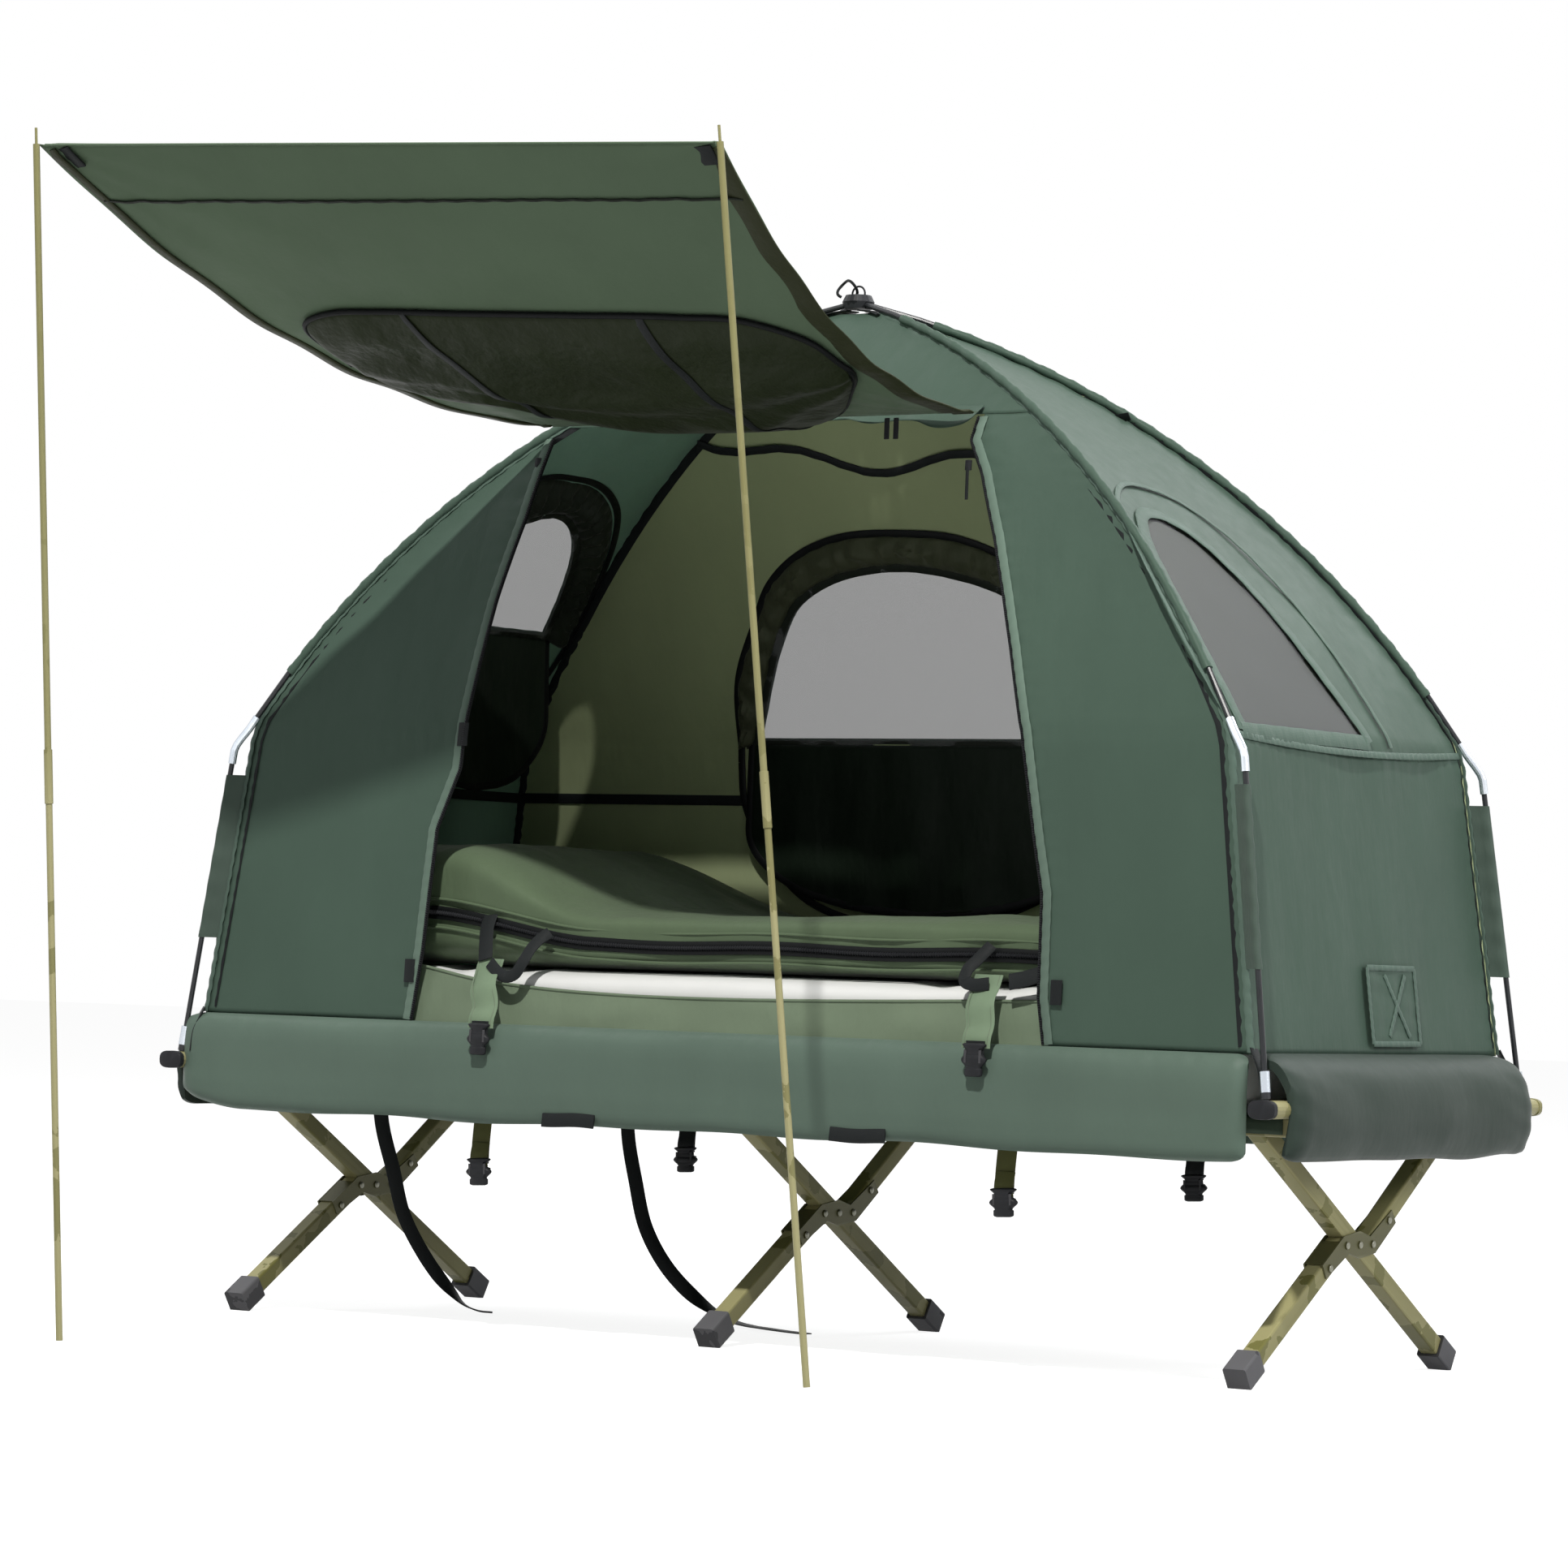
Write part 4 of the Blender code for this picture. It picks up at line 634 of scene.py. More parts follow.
# Roof hem: the loose lower edge of the front roof cloth, which hangs in soft waves beside the awning's root.
# A short strip follows the wall down from the seam and stands a little off it at its waved lower edge.
ROOF_HEM = ((-.02, 1.338), (.05, 1.328), (.09, 1.331), (.14, 1.321), (.18, 1.326), (.22, 1.322), (.25, 1.313),
            (.28, 1.314), (.308, 1.321), (.323, 1.337))
ROOF_HEM_TOP = 1.346


def add_roof_hem():
    edge = smooth_line(ROOF_HEM, 120)
    share = np.linspace(0, 1, 9)[:, None]
    across = np.broadcast_to(edge[None, :, 0], (9, 120))
    height = ROOF_HEM_TOP + (edge[None, :, 1] - ROOF_HEM_TOP) * share
    off = 0.0018 + share * (0.003 + 0.0022 * np.sin(across * 62))
    grid = on_wall("front", across, height, off)
    hem = add_cloth("roof_hem", grid, CLOTH_GREEN, "tent", CLOTH_SHEET)


add_roof_hem()


# Window nets: dark see-through netting sewn inside each opening and held by a folded binding round its head and sill.
# The net is a flat-woven sheet a little larger than the opening; the binding is a doubled band swept round it.
NET_MARGIN = 0.012
BINDING_WIDTH = 0.022
NET = bpy.data.materials.new("window_net")
NET.use_nodes = True
NET_SHADER = NET.node_tree.nodes["Principled BSDF"]
NET_SHADER.inputs["Base Color"].default_value = (*screen(114, 116, 118), 1)
NET_SHADER.inputs["Roughness"].default_value = 0.8
NET_SHADER.inputs["Alpha"].default_value = 0.48
BINDING_DARK = cloth("binding_dark", screen(34, 39, 33), 0.6, 0.6, 0.25, 0.1)
BINDING_GREEN = cloth("binding_green", screen(86, 105, 95), 0.6, 0.6, 0.15, 0.15)
GATHER_DARK = cloth("gathered_dark", screen(42, 47, 40), 1.0, 0.4, 0.4, 0.1)
GATHER_BROWN = cloth("gathered_brown", screen(75, 79, 61), 0.8, 0.4, 0.25, 0.1)


def add_net(name, wall, head):
    low, high = head.min(axis=0) - NET_MARGIN, head.max(axis=0) + NET_MARGIN
    across = np.linspace(low[0], high[0], 60)[None]
    height = np.linspace(low[1], high[1], 50)[:, None]
    across, height = np.broadcast_arrays(across, height)
    middle = head.mean(axis=0)
    wider = middle + (head - middle) * (1 + 2 * NET_MARGIN / (high[0] - low[0]))
    centres = [(part[1:, 1:] + part[:-1, :-1]) / 2 for part in (across, height)]
    keep = inside(wider, *centres)
    grid = on_wall(wall, across, height, -0.0035 - 0.0015 * (1 + rumple(across, height, 0.12, 31)))
    net = add_cloth(name, grid, NET, "tent", 0.0004, keep)


def add_band(name, wall, line, width, out, material, body="tent", thickness=0.0016, waves=0.0):
    """A doubled band lying on a wall along a line of (across, height)."""
    lift = out + waves * np.sin(np.arange(len(line)) * 1.9)
    path = on_wall(wall, line[:, 0], line[:, 1], lift)
    section = ribbon_section(width, thickness)
    return add_swept(name, path, section, wall_normal(wall, line[:, 0], line[:, 1]), material, body)


def add_ring(name, wall, inner, outer, out, material, puff, seed):
    """Gathered cloth between a window's head and an outer line, puffed along its middle."""
    share = np.linspace(0, 1, 9)[:, None]
    inner, outer = smooth_line(inner, 150), smooth_line(outer, 150)
    across = inner[None, :, 0] * (1 - share) + outer[None, :, 0] * share
    height = inner[None, :, 1] * (1 - share) + outer[None, :, 1] * share
    run = np.arange(150)[None] / 150
    fold = puff * np.sin(math.pi * share) * (1 + 0.45 * np.sin(run * 150 + 2 * rumple(run * 2, share, 0.3, seed)))
    grid = on_wall(wall, across, height, out + math.copysign(1, out) * fold)
    ring = add_cloth(name, grid, material, "tent", 0.0010)


def sill_line(head):
    return np.linspace(head[0], head[-1], 24)


REAR_OUTER = ((-.415, .88), (-.40, .99), (-.354, 1.071), (-.32, 1.126), (-.255, 1.173), (-.196, 1.194), (-.05, 1.203),
              (.044, 1.193), (.13, 1.158), (.20, 1.10), (.25, 1.01), (.275, .88))
LEFT_OUTER = ((-.19, 1.06), (-.165, 1.18), (-.121, 1.257), (-.021, 1.272), (.075, 1.259), (.145, 1.232), (.209, 1.182),
              (.258, 1.106), (.279, 1.04))
RIGHT_OUTER = ((-.335, .865), (-.33, 1.0), (-.275, 1.13), (-.201, 1.207), (-.135, 1.232), (-.074, 1.233),
               (-.006, 1.217), (.055, 1.167), (.083, 1.106), (.105, 1.026), (.129, .877))
add_net("rear_net", "rear", REAR_HEAD)
add_net("left_net", "left", LEFT_HEAD)
add_net("right_net", "right", RIGHT_HEAD)
add_ring("rear_gather", "rear", REAR_HEAD, REAR_OUTER, -0.005, GATHER_BROWN, 0.010, 41)
add_ring("left_gather", "left", LEFT_HEAD, LEFT_OUTER, -0.005, GATHER_DARK, 0.012, 42)
for name, wall, head in (("rear", "rear", REAR_HEAD), ("left", "left", LEFT_HEAD), ("right", "right", RIGHT_HEAD)):
    add_band(f"{name}_head_inside", wall, head, BINDING_WIDTH, -0.0052, BINDING_DARK, waves=0.0006)
    add_band(f"{name}_head_outside", wall, head, BINDING_WIDTH, 0.0006, BINDING_GREEN, waves=0.0004)
    add_band(f"{name}_sill_inside", wall, sill_line(head), 0.016, -0.0048, BINDING_DARK)
    add_band(f"{name}_sill_outside", wall, sill_line(head), BINDING_WIDTH, 0.0006, BINDING_GREEN, waves=0.0006)
add_band("right_hood_seam", "right", smooth_line(RIGHT_OUTER, 90), 0.009, 0.0007, BINDING_GREEN, waves=0.0003)
add_band("left_hood_seam", "left", smooth_line(LEFT_OUTER, 90), 0.009, 0.0007, BINDING_GREEN, waves=0.0003)
add_band("rear_hood_seam", "rear", smooth_line(REAR_OUTER, 90), 0.009, 0.0007, BINDING_GREEN, waves=0.0003)


# Window flaps: dark lined covers zipped over the nets from inside, opened here and hanging down from the sills.
# Each is a limp sheet, half an ellipse long, hinged on its sill and bound round its edge.
FLAP_CLOTH = cloth("flap_cloth", screen(22, 32, 23), 0.5, 0.3, 0.3, 0.2, 0.08)
ZIP_BLACK = cloth("zip_black", screen(16, 18, 19), 0.1, 0.8, 0.3, 0.05)


def add_flap(name, node, body, wall, head, drop, seed):
    """Rows down from the sill; the sheet's half width falls off as an ellipse below its upper half."""
    (low, sill), (high, _) = head[0], head[-1]
    down = np.linspace(0, 1, 40)[:, None]
    share = np.linspace(-1, 1, 60)[None]
    half = (high - low) / 2 * np.sqrt(np.clip(1 - np.clip(2 * down - 1, 0, 0.9995) ** 2, 0, 1))
    across = (low + high) / 2 + half * share
    height = np.broadcast_to(sill - drop * down, across.shape)
    swell = 0.004 * down * (1 + rumple(across, height, 0.22, seed)) + 0.002 * down * np.sin(across * 60)
    hinge = on_wall(wall, across, np.full_like(across, sill), -0.0060)
    inward = -wall_normal(wall, across, np.full_like(across, sill)) * np.array([1, 1, 0])
    grid = hinge + inward * swell[..., None]
    grid[..., 2] = height
    flap = add_cloth(name, grid, FLAP_CLOTH, body, 0.0018)
    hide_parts(node)
    edge = np.concatenate([grid[:, 0], grid[::-1, -1]])
    keep = np.concatenate([[True], np.linalg.norm(np.diff(edge, axis=0), axis=1) > 0.0008])
    facing = -inward[0, 0]
    zip_tape = add_swept(f"{name}_zip", edge[keep], ribbon_section(0.012, 0.0026), facing, ZIP_BLACK, body)
    hinge_middle = on_wall(wall, (low + high) / 2, sill, 0.0080)
    for piece in (flap, zip_tape):
        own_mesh(piece)


add_flap("left_flap", "window_flap_left", "flap_left", "left", LEFT_HEAD, 0.243, 51)
add_flap("right_flap", "window_flap_right", "flap_right", "right", RIGHT_HEAD, 0.216, 52)
add_flap("rear_flap", "window_flap_rear", "flap_rear", "rear", REAR_HEAD, 0.259, 53)
REAR_ZIP = ((-.41, .86), (-.40, .99), (-.354, 1.075), (-.32, 1.128), (-.255, 1.175), (-.196, 1.196), (-.05, 1.205),
            (.044, 1.195), (.13, 1.16), (.20, 1.10), (.25, 1.01), (.275, .88), (.262, .78), (.19, .69), (.08, .635),
            (-.06, .612), (-.20, .617), (-.30, .655), (-.37, .73), (-.405, .80), (-.41, .86))
LEFT_ZIP_ROUND = ((-.20, 1.05), (-.175, 1.18), (-.125, 1.262), (-.021, 1.277), (.08, 1.264), (.15, 1.237),
                  (.214, 1.186), (.263, 1.108), (.283, 1.04), (.275, .96), (.23, .88), (.14, .825), (.04, .80),
                  (-.07, .82), (-.16, .88), (-.20, .96), (-.20, 1.05))
add_band("rear_window_zip", "rear", smooth_line(REAR_ZIP, 160), 0.012, -0.0062, ZIP_BLACK, thickness=0.003)
add_band("left_window_zip", "left", smooth_line(LEFT_ZIP_ROUND, 140), 0.012, -0.0062, ZIP_BLACK, thickness=0.003)


# Seam tapes: black woven tape covers the corner seams, the shoulder seam and the roof seam inside the tent;
# outside, the same seams show as a narrow lapped ridge with two stitch lines.
def corner_line(sx, sy, low, high, count, inset):
    heights = wall_heights(low, high, (high - low) / count)
    reach = corner_reach(heights) - inset
    return placed(np.stack([sx * POLE_X * reach, sy * POLE_Y * reach, heights], 1))


def add_seams():
    inner_tape = ribbon_section(0.020, 0.0014)
    ridge = ribbon_section(0.010, 0.0026)
    for label, sx, sy in (("front_left", -1, -1), ("front_right", 1, -1), ("rear_left", -1, 1), ("rear_right", 1, 1)):
        outward = np.array([sx * POLE_Y, sy * POLE_X, 0.0])
        line = corner_line(sx, sy, SEAM_HEIGHT + 0.01, APEX_HEIGHT - 0.01, 90, 0.010)
        add_swept(f"tape_{label}", line, inner_tape, outward, WEB_BLACK, "tent")
        line = corner_line(sx, sy, SEAM_HEIGHT + 0.002, APEX_HEIGHT - 0.004, 240, 0.0)
        line[:, 0] += sx * 0.0008 * np.sin(np.arange(len(line)) * 1.3)
        add_swept(f"seam_{label}", line, ridge, outward, BINDING_GREEN, "tent")
    for label, wall, height, span in (("rear", "rear", 0.80, POLE_X), ("left", "left", 0.80, POLE_Y)):
        across = np.linspace(-0.985, 0.985, 60) * span * corner_reach(height)
        add_band(f"{label}_shoulder_tape", wall, np.stack([across, np.full(60, height)], 1), 0.016, -0.0060,
                 WEB_BLACK)
    across = np.linspace(-0.97, 0.97, 60) * POLE_X * corner_reach(1.34)
    sag = 1.305 + 0.05 * (across / across[-1]) ** 2 + 0.012 * np.sin(across * 22)
    add_band("rear_roof_tape", "rear", np.stack([across, sag], 1), 0.013, -0.0085, WEB_BLACK, waves=0.0012)
    for label, wall in (("front", "front"), ("right", "right"), ("left", "left"), ("rear", "rear")):
        half = (POLE_X if wall in ("front", "rear") else POLE_Y) * corner_reach(SHOULDER_HEIGHT)
        spans = [(-0.99 * half, 0.99 * half)]
        if wall == "front":
            gap = (float(zip_line(LEFT_ZIP)(SHOULDER_HEIGHT)), float(zip_line(RIGHT_ZIP)(SHOULDER_HEIGHT)))
            spans = []
        for number, (low, high) in enumerate(spans):
            across = np.linspace(low, high, 160)
            height = SHOULDER_HEIGHT + 0.004 + 0.012 * (across / half) ** 2
            add_band(f"{label}_shoulder_seam_{number}", wall, np.stack([across, height], 1), 0.010, 0.0006,
                     BINDING_GREEN, waves=0.0005)


add_seams()


# Door zips: a coil zip on each side of the doorway, its tape folded over the cloth's raw edge and stitched.
# The tape is a pale green band at the edge and the coil a row of fine black teeth beyond it.
ZIP_TAPE = cloth("zip_tape", screen(103, 123, 111), 0.3, 1.0, 0.3, 0.1)
TOOTH_PITCH = 0.0032


def add_door_zip(name, shares, top, side):
    """The coil's radius swells and narrows once for each tooth."""
    heights = wall_heights(SEAM_HEIGHT + 0.002, top, 0.01)
    across = zip_line(shares)(heights) + side * 0.002
    line = smooth_line(np.stack([across, heights], 1), 160)
    add_band(f"{name}_tape", "front", line, 0.013, 0.0008, ZIP_TAPE, thickness=0.0022, waves=0.0006)
    edge = line - np.array([side * 0.0085, 0])
    add_band(f"{name}_binding", "front", edge, 0.006, 0.0, ZIP_BLACK, thickness=0.003)
    length = float(np.linalg.norm(np.diff(edge, axis=0), axis=1).sum())
    count = int(length / TOOTH_PITCH) * 4
    fine = smooth_line(edge, count)
    section = round_section(1.0, 6)[None] * (0.0016 + 0.0008 * np.cos(np.arange(count) * math.pi / 2))[:, None, None]
    path = on_wall("front", fine[:, 0], fine[:, 1], 0.002)
    add_swept(f"{name}_teeth", path, section, wall_normal("front", fine[:, 0], fine[:, 1]), BLACK_PLASTIC, "tent")


add_door_zip("door_zip_left", LEFT_ZIP, LEFT_ZIP_TOP - 0.004, -1)
add_door_zip("door_zip_right", RIGHT_ZIP, DOOR_TOP - 0.006, 1)


# Pole sleeves: tubes of the tent cloth sewn along the corner seams. The long curved rods run in the upper ones,
# and broad lower ones hold the straight rods off the corners. All are swept along the rods.
SLEEVE_GREY = cloth("sleeve_cloth", screen(75, 89, 81), 0.5, 0.4, 0.15, 0.15)
SPREADER_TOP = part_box("spreader_left")[1][2]
ELBOW_TOP = np.array([ARC_CENTRE_R + ARC_RADIUS * math.cos(ARC_END_ANGLE),
                      ARC_CENTRE_Z + ARC_RADIUS * math.sin(ARC_END_ANGLE)])
ELBOW_LOW = ELBOW_TOP + np.array([0.037, -0.071])
POLE_FOOT = np.array([1.0, SPREADER_TOP])


def add_sleeves():
    for label, sx, sy in (("front_left", -1, -1), ("front_right", 1, -1), ("rear_left", -1, 1), ("rear_right", 1, 1)):
        outward = np.array([sx * POLE_Y, sy * POLE_X, 0.0])
        sideways = np.array([-sy * POLE_Y, sx * POLE_X, 0.0])
        angles = np.linspace(math.radians(72.0), math.radians(36.5), 150)
        reach = ARC_CENTRE_R + (ARC_RADIUS - 0.0015) * np.cos(angles)
        level = ARC_CENTRE_Z + (ARC_RADIUS - 0.0015) * np.sin(angles)
        path = placed(np.stack([sx * POLE_X * reach, sy * POLE_Y * reach, level], 1))
        size = 0.0064 + 0.0007 * np.sin(np.arange(150) * 0.9) + 0.0004 * np.sin(np.arange(150) * 2.3)
        section = round_section(1.0, 14)[None] * size[:, None, None]
        sleeve = add_swept(f"sleeve_upper_{label}", path, section, outward, CLOTH_GREEN, "tent")
        share = np.linspace(0, 1, 60)
        height = 0.805 - 0.245 * share
        seam = corner_reach(height) - 0.001
        rod = ELBOW_LOW[0] + (POLE_FOOT[0] - ELBOW_LOW[0]) * (ELBOW_LOW[1] - height) / (ELBOW_LOW[1] - POLE_FOOT[1])
        turn = np.linspace(-math.pi / 2, math.pi / 2, 7)
        around_r = np.concatenate([np.cos(turn) * 0.0055, np.full(7, 0.0)])
        around_s = np.concatenate([np.sin(turn) * 0.0055, np.linspace(0.0045, -0.0045, 7)])
        back = np.concatenate([np.zeros(7), np.array([0.3, 0.6, 0.9, 1.0, 0.9, 0.6, 0.3])])
        flat = np.concatenate([np.ones(7), np.array([0.7, 0.4, 0.15, 0.0, 0.15, 0.4, 0.7])])
        out = rod[:, None] * (1 - back) + seam[:, None] * back + around_r
        wave = 0.0008 * np.sin(share * 40)[:, None] * (1 - back)
        beside = np.broadcast_to(around_s * np.where(back > 0, flat, 1.0), out.shape) + wave
        points = (np.stack([sx * POLE_X * out, sy * POLE_Y * out, np.repeat(height[:, None], 14, axis=1)], -1)
                  + beside[..., None] * sideways)
        sleeve = add_mesh(f"sleeve_lower_{label}", placed(points), ring_quads(60, 14), SLEEVE_GREY, "tent")


add_sleeves()


# Awning: the outer door panel, unzipped and held out by two poles through eyelets at its front corners.
# One curved sheet hangs between the roof seam and the front edge, hemmed in front and bound in black at its sides.
AWNING_ROOT_SPAN = (-0.410, 0.326)
AWNING_ROOT = (-0.18478, 1.3373)
AWNING_CORNER_LEFT = (-0.683, -1.050, 1.655)
AWNING_CORNER_RIGHT = (0.294, -0.800, 1.638)
AWNING_SAG = 0.085
AWNING_HEM = 0.885
AWNING_EDGE_TRIM = 0.004
AWNING_BORDER = cloth("awning_border", screen(49, 53, 34), 0.6, 0.4, 0.2, 0.1)
AWNING_GREEN = cloth("awning_cloth", screen(95, 114, 92), 0.25, 0.2, 0.12, 0.15, 0.08)


def on_awning(out, across, drop=0.0):
    """out runs from the root to the front edge, across from left to right; the cloth sags as a shallow parabola."""
    out, across, drop = np.broadcast_arrays(np.asarray(out, float), np.asarray(across, float), drop)
    root = [np.interp(across, (0, 1), AWNING_ROOT_SPAN), np.full(out.shape, AWNING_ROOT[0]),
            np.full(out.shape, AWNING_ROOT[1])]
    front = [np.interp(across, (0, 1), pair) for pair in zip(AWNING_CORNER_LEFT, AWNING_CORNER_RIGHT)]
    point = np.stack([(1 - out) * a + out * b for a, b in zip(root, front)], -1)
    point[..., 2] -= AWNING_SAG * 4 * out * (1 - out) + drop
    return placed(point)


def awning_drop(out, across):
    """Small folds fan from the four corners and long soft ones run from the root to the front."""
    fan = np.zeros(np.broadcast(out, across).shape)
    for corner_out, corner_across, count in ((1, 0, 14), (1, 1, 14), (0, 0, 18), (0, 1, 18)):
        away = np.hypot(out - corner_out, across - corner_across) + 0.03
        angle = np.arctan2(across - corner_across, out - corner_out)
        fan += 0.0016 * np.exp(-away / 0.22) * np.sin(angle * count)
    edge = np.minimum(across, 1 - across)
    slack = 0.0030 * np.sin(math.pi * out) * np.exp(-edge / 0.06) * np.sin(out * 34)
    return 0.0025 + fan + slack + 0.0022 * np.sin(math.pi * out) * rumple(out, across, 0.5, 61)


def add_awning():
    out = np.linspace(0, 1 - AWNING_EDGE_TRIM, 110)[:, None]
    across = np.linspace(0, 1, 100)[None]
    grid = on_awning(out, across, awning_drop(out, across))
    awning = add_cloth("awning_cloth", grid, AWNING_GREEN, "awning", 0.0010)
    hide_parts("awning")
    line = np.linspace(0.01, 0.99, 90)
    hem = on_awning(AWNING_HEM, line, awning_drop(AWNING_HEM, line) + 0.0012 + 0.0006 * np.sin(line * 160))
    add_swept("awning_hem_seam", hem, ribbon_section(0.010, 0.0030), (0, 0, 1), BINDING_DARK, "awning")
    front = on_awning(1 - 1.6 * AWNING_EDGE_TRIM, line, 0.0022)
    add_swept("awning_front_hem", front, ribbon_section(0.012, 0.0030), (0, 0, 1), AWNING_GREEN,
                           "awning")
    for label, side, width_in, wide in (("left", 0.0, 0.010, 0.021), ("right", 1.0, -0.018, 0.037)):
        out = np.linspace(0.024, 0.985, 120)
        across = side + width_in + 0 * out
        edge = on_awning(out, across, awning_drop(out, across) + 0.0004)
        add_swept(f"awning_{label}_binding", edge, ribbon_section(wide, 0.0040), (0, 0, 1),
                               AWNING_BORDER, "awning")
    for label, side in (("left", 0.03), ("right", 0.97)):
        corner = on_awning(np.linspace(0.955, 0.99, 8), np.full(8, side), 0.0035)
        add_swept(f"awning_{label}_eyelet_patch", corner, ribbon_section(0.030, 0.0036), (0, 0, 1),
                               WEB_BLACK, "awning")


add_awning()


# Inner door: the net door panel with its lining, rolled and tied up under the awning as a slack bundle; its dark colour
# is partly the lining's own dark olive and partly painted shade from under the awning.
# Its skin is a grid between an upper edge and a lower edge on the awning's underside, sagging between the two.
ROLL_UPPER = ((.46, .055), (.60, .10), (.625, .17), (.625, .24), (.615, .40), (.61, .57), (.605, .75), (.59, .86),
              (.53, .93), (.42, .955))
ROLL_LOWER = ((.42, .07), (.35, .10), (.27, .16), (.23, .26), (.10, .33), (.03, .42), (.02, .56), (.06, .69),
              (.16, .80), (.34, .93))
# Roll colour: the lining's own dark olive, darkened further by painted shade from under the awning.
ROLL_CLOTH = cloth("roll_cloth", screen(33, 40, 22), 0.9, 0.3, 0.3, 0.15)


def add_door_roll():
    upper, lower = smooth_line(ROLL_UPPER, 140), smooth_line(ROLL_LOWER, 140)
    share = np.linspace(0, 1, 50)[:, None]
    out = upper[None, :, 0] * (1 - share) + lower[None, :, 0] * share
    across = upper[None, :, 1] * (1 - share) + lower[None, :, 1] * share
    swell = np.sin(math.pi * share) ** 0.6
    along = np.linspace(0, 1, 140)[None]
    fold = 0.004 * np.sin(share * 19 + 1.5 * rumple(along, share, 0.7, 71)) + 0.004 * rumple(along * 2, share, 0.5, 72)
    end = np.sin(math.pi * np.clip(along, 0.004, 0.996)) ** 0.5
    drop = 0.007 + end * swell * (0.026 + fold + 0.010 * share)
    grid = on_awning(out, across, awning_drop(out, across) + drop)
    roll = add_cloth("door_roll_cloth", grid, ROLL_CLOTH, "awning", 0.0016)
    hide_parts("door_roll")
    rim = np.concatenate([grid[0], grid[::-1][1:, -1][::-1], grid[-1][::-1][1:], grid[1:-1, 0][::-1]])
    keep = np.concatenate([[True], np.linalg.norm(np.diff(rim, axis=0), axis=1) > 0.002])
    line = smooth_line(rim[keep], 320)
    add_swept("door_roll_piping", line, round_section(0.0042, 8), (0.02, 0.03, 1), ZIP_BLACK, "awning")
    for number, place in enumerate((0.30, 0.66)):
        column = round(place * 139)
        tie = grid[:, column] - np.array([0, 0, 0.0016])
        add_swept(f"door_roll_tie_{number}", tie, ribbon_section(0.016, 0.0016), (0, 0, 1), WEB_BLACK, "awning")


add_door_roll()


# Skirts: long folded bands of the tent cloth that hang from the seam over both rails and hide the bed's sides.
# Each is one soft section swept along the bed, its lower hem turned in and its ends rounded over.
SEAM_X = POLE_X * SEAM_REACH
SKIRT_LENGTH = 2 * (SEAM_X + 0.002)
SKIRT_CLOTH = cloth("skirt_cloth", screen(92, 110, 99), 0.35, 0.2, 0.12, 0.2, 0.12)
SKIRT_SECTION = ((.366, .4475), (.376, .4440), (.384, .4340), (.3885, .418), (.3900, .395), (.3895, .365),
                 (.3885, .335), (.3850, .314), (.3780, .3055), (.3710, .3070), (.3720, .320), (.3750, .345),
                 (.3760, .375), (.3750, .405), (.3690, .428), (.3600, .441))


def outward_quads(points, quads):
    """The quads turned over if the form they close would otherwise face inwards."""
    corner = np.asarray(points, float).reshape(-1, 3)
    corner = corner - corner.mean(axis=0)
    a, b, c, d = (corner[quads[:, i]] for i in range(4))
    volume = np.einsum("ij,ij->i", a, np.cross(b, c)).sum() + np.einsum("ij,ij->i", a, np.cross(c, d)).sum()
    return quads if volume > 0 else quads[:, ::-1]


def closed_line(points, count):
    """A smooth closed line: the open curve through the points with both ends run on past the join."""
    points = np.asarray(points, float)
    longer = np.concatenate([points[-3:], points, points[:3]])
    steps = np.concatenate([[0], np.cumsum(np.linalg.norm(np.diff(longer, axis=0), axis=1))])
    dense = smooth_line(longer, 40 * len(longer))
    run = np.linspace(0, steps[-1], len(dense))
    where = np.linspace(steps[3], steps[3 + len(points)], count, endpoint=False)
    return np.stack([np.interp(where, run, dense[:, axis]) for axis in range(dense.shape[1])], 1)


def end_rounding(distance, radius):
    return np.sqrt(np.clip(1 - (1 - np.clip(distance / radius, 0.02, 1)) ** 2, 0, 1))
SKIRT_TUCK = 0.026


def add_skirt(label, side, seed):
    section = closed_line(SKIRT_SECTION, 48)
    x = np.linspace(-SKIRT_LENGTH / 2, SKIRT_LENGTH / 2, 420)[:, None]
    size = end_rounding(SKIRT_LENGTH / 2 - np.abs(x), 0.022)
    corner = np.clip(1 - (x + SKIRT_LENGTH / 2) / 0.09, 0, 1) ** 2
    middle = np.array([0.377, 0.376])
    out = middle[0] + (section[None, :, 0] - middle[0]) * size
    level = middle[1] + (section[None, :, 1] - middle[1]) * (0.82 + 0.18 * size)
    low = np.clip((0.36 - level) / 0.05, 0, 1)
    outer = np.clip((out - 0.380) / 0.006, 0, 1)
    soft = 0.0022 * rumple(x * 0.5, level, 0.16, seed) * outer
    tuck = 0.0010 * np.sin(x / 0.006 + 2 * rumple(x, level, 0.1, seed + 1)) * np.exp(-np.abs(level - 0.444) / 0.008)
    hem = low * (0.0030 * rumple(x, 0 * x, 0.5, seed + 2) + 0.0015 * np.sin(x * 21) + 0.022 * corner)
    along = x - SKIRT_TUCK * corner
    points = np.stack([np.broadcast_to(along, out.shape), side * (out + soft + tuck), level + hem], -1)
    quads = outward_quads(points, ring_quads(420, 48))
    skirt = add_mesh(f"skirt_{label}_cloth", placed(points), quads, SKIRT_CLOTH, "tent")
    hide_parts(f"skirt_{label}")
    return skirt


near_skirt = add_skirt("near", -1, 81)
far_skirt = add_skirt("far", 1, 82)
for number, middle in enumerate((-0.1985, 0.2935)):
    x = np.linspace(middle - 0.0455, middle + 0.0455, 12)
    line = placed(np.stack([x, np.full(12, -0.3895), 0.314 + 0.001 * np.sin(x * 60)], 1))
    add_swept(f"skirt_patch_{number}", line, ribbon_section(0.020, 0.0028), (0, -1, 0.1), WEB_BLACK, "tent")


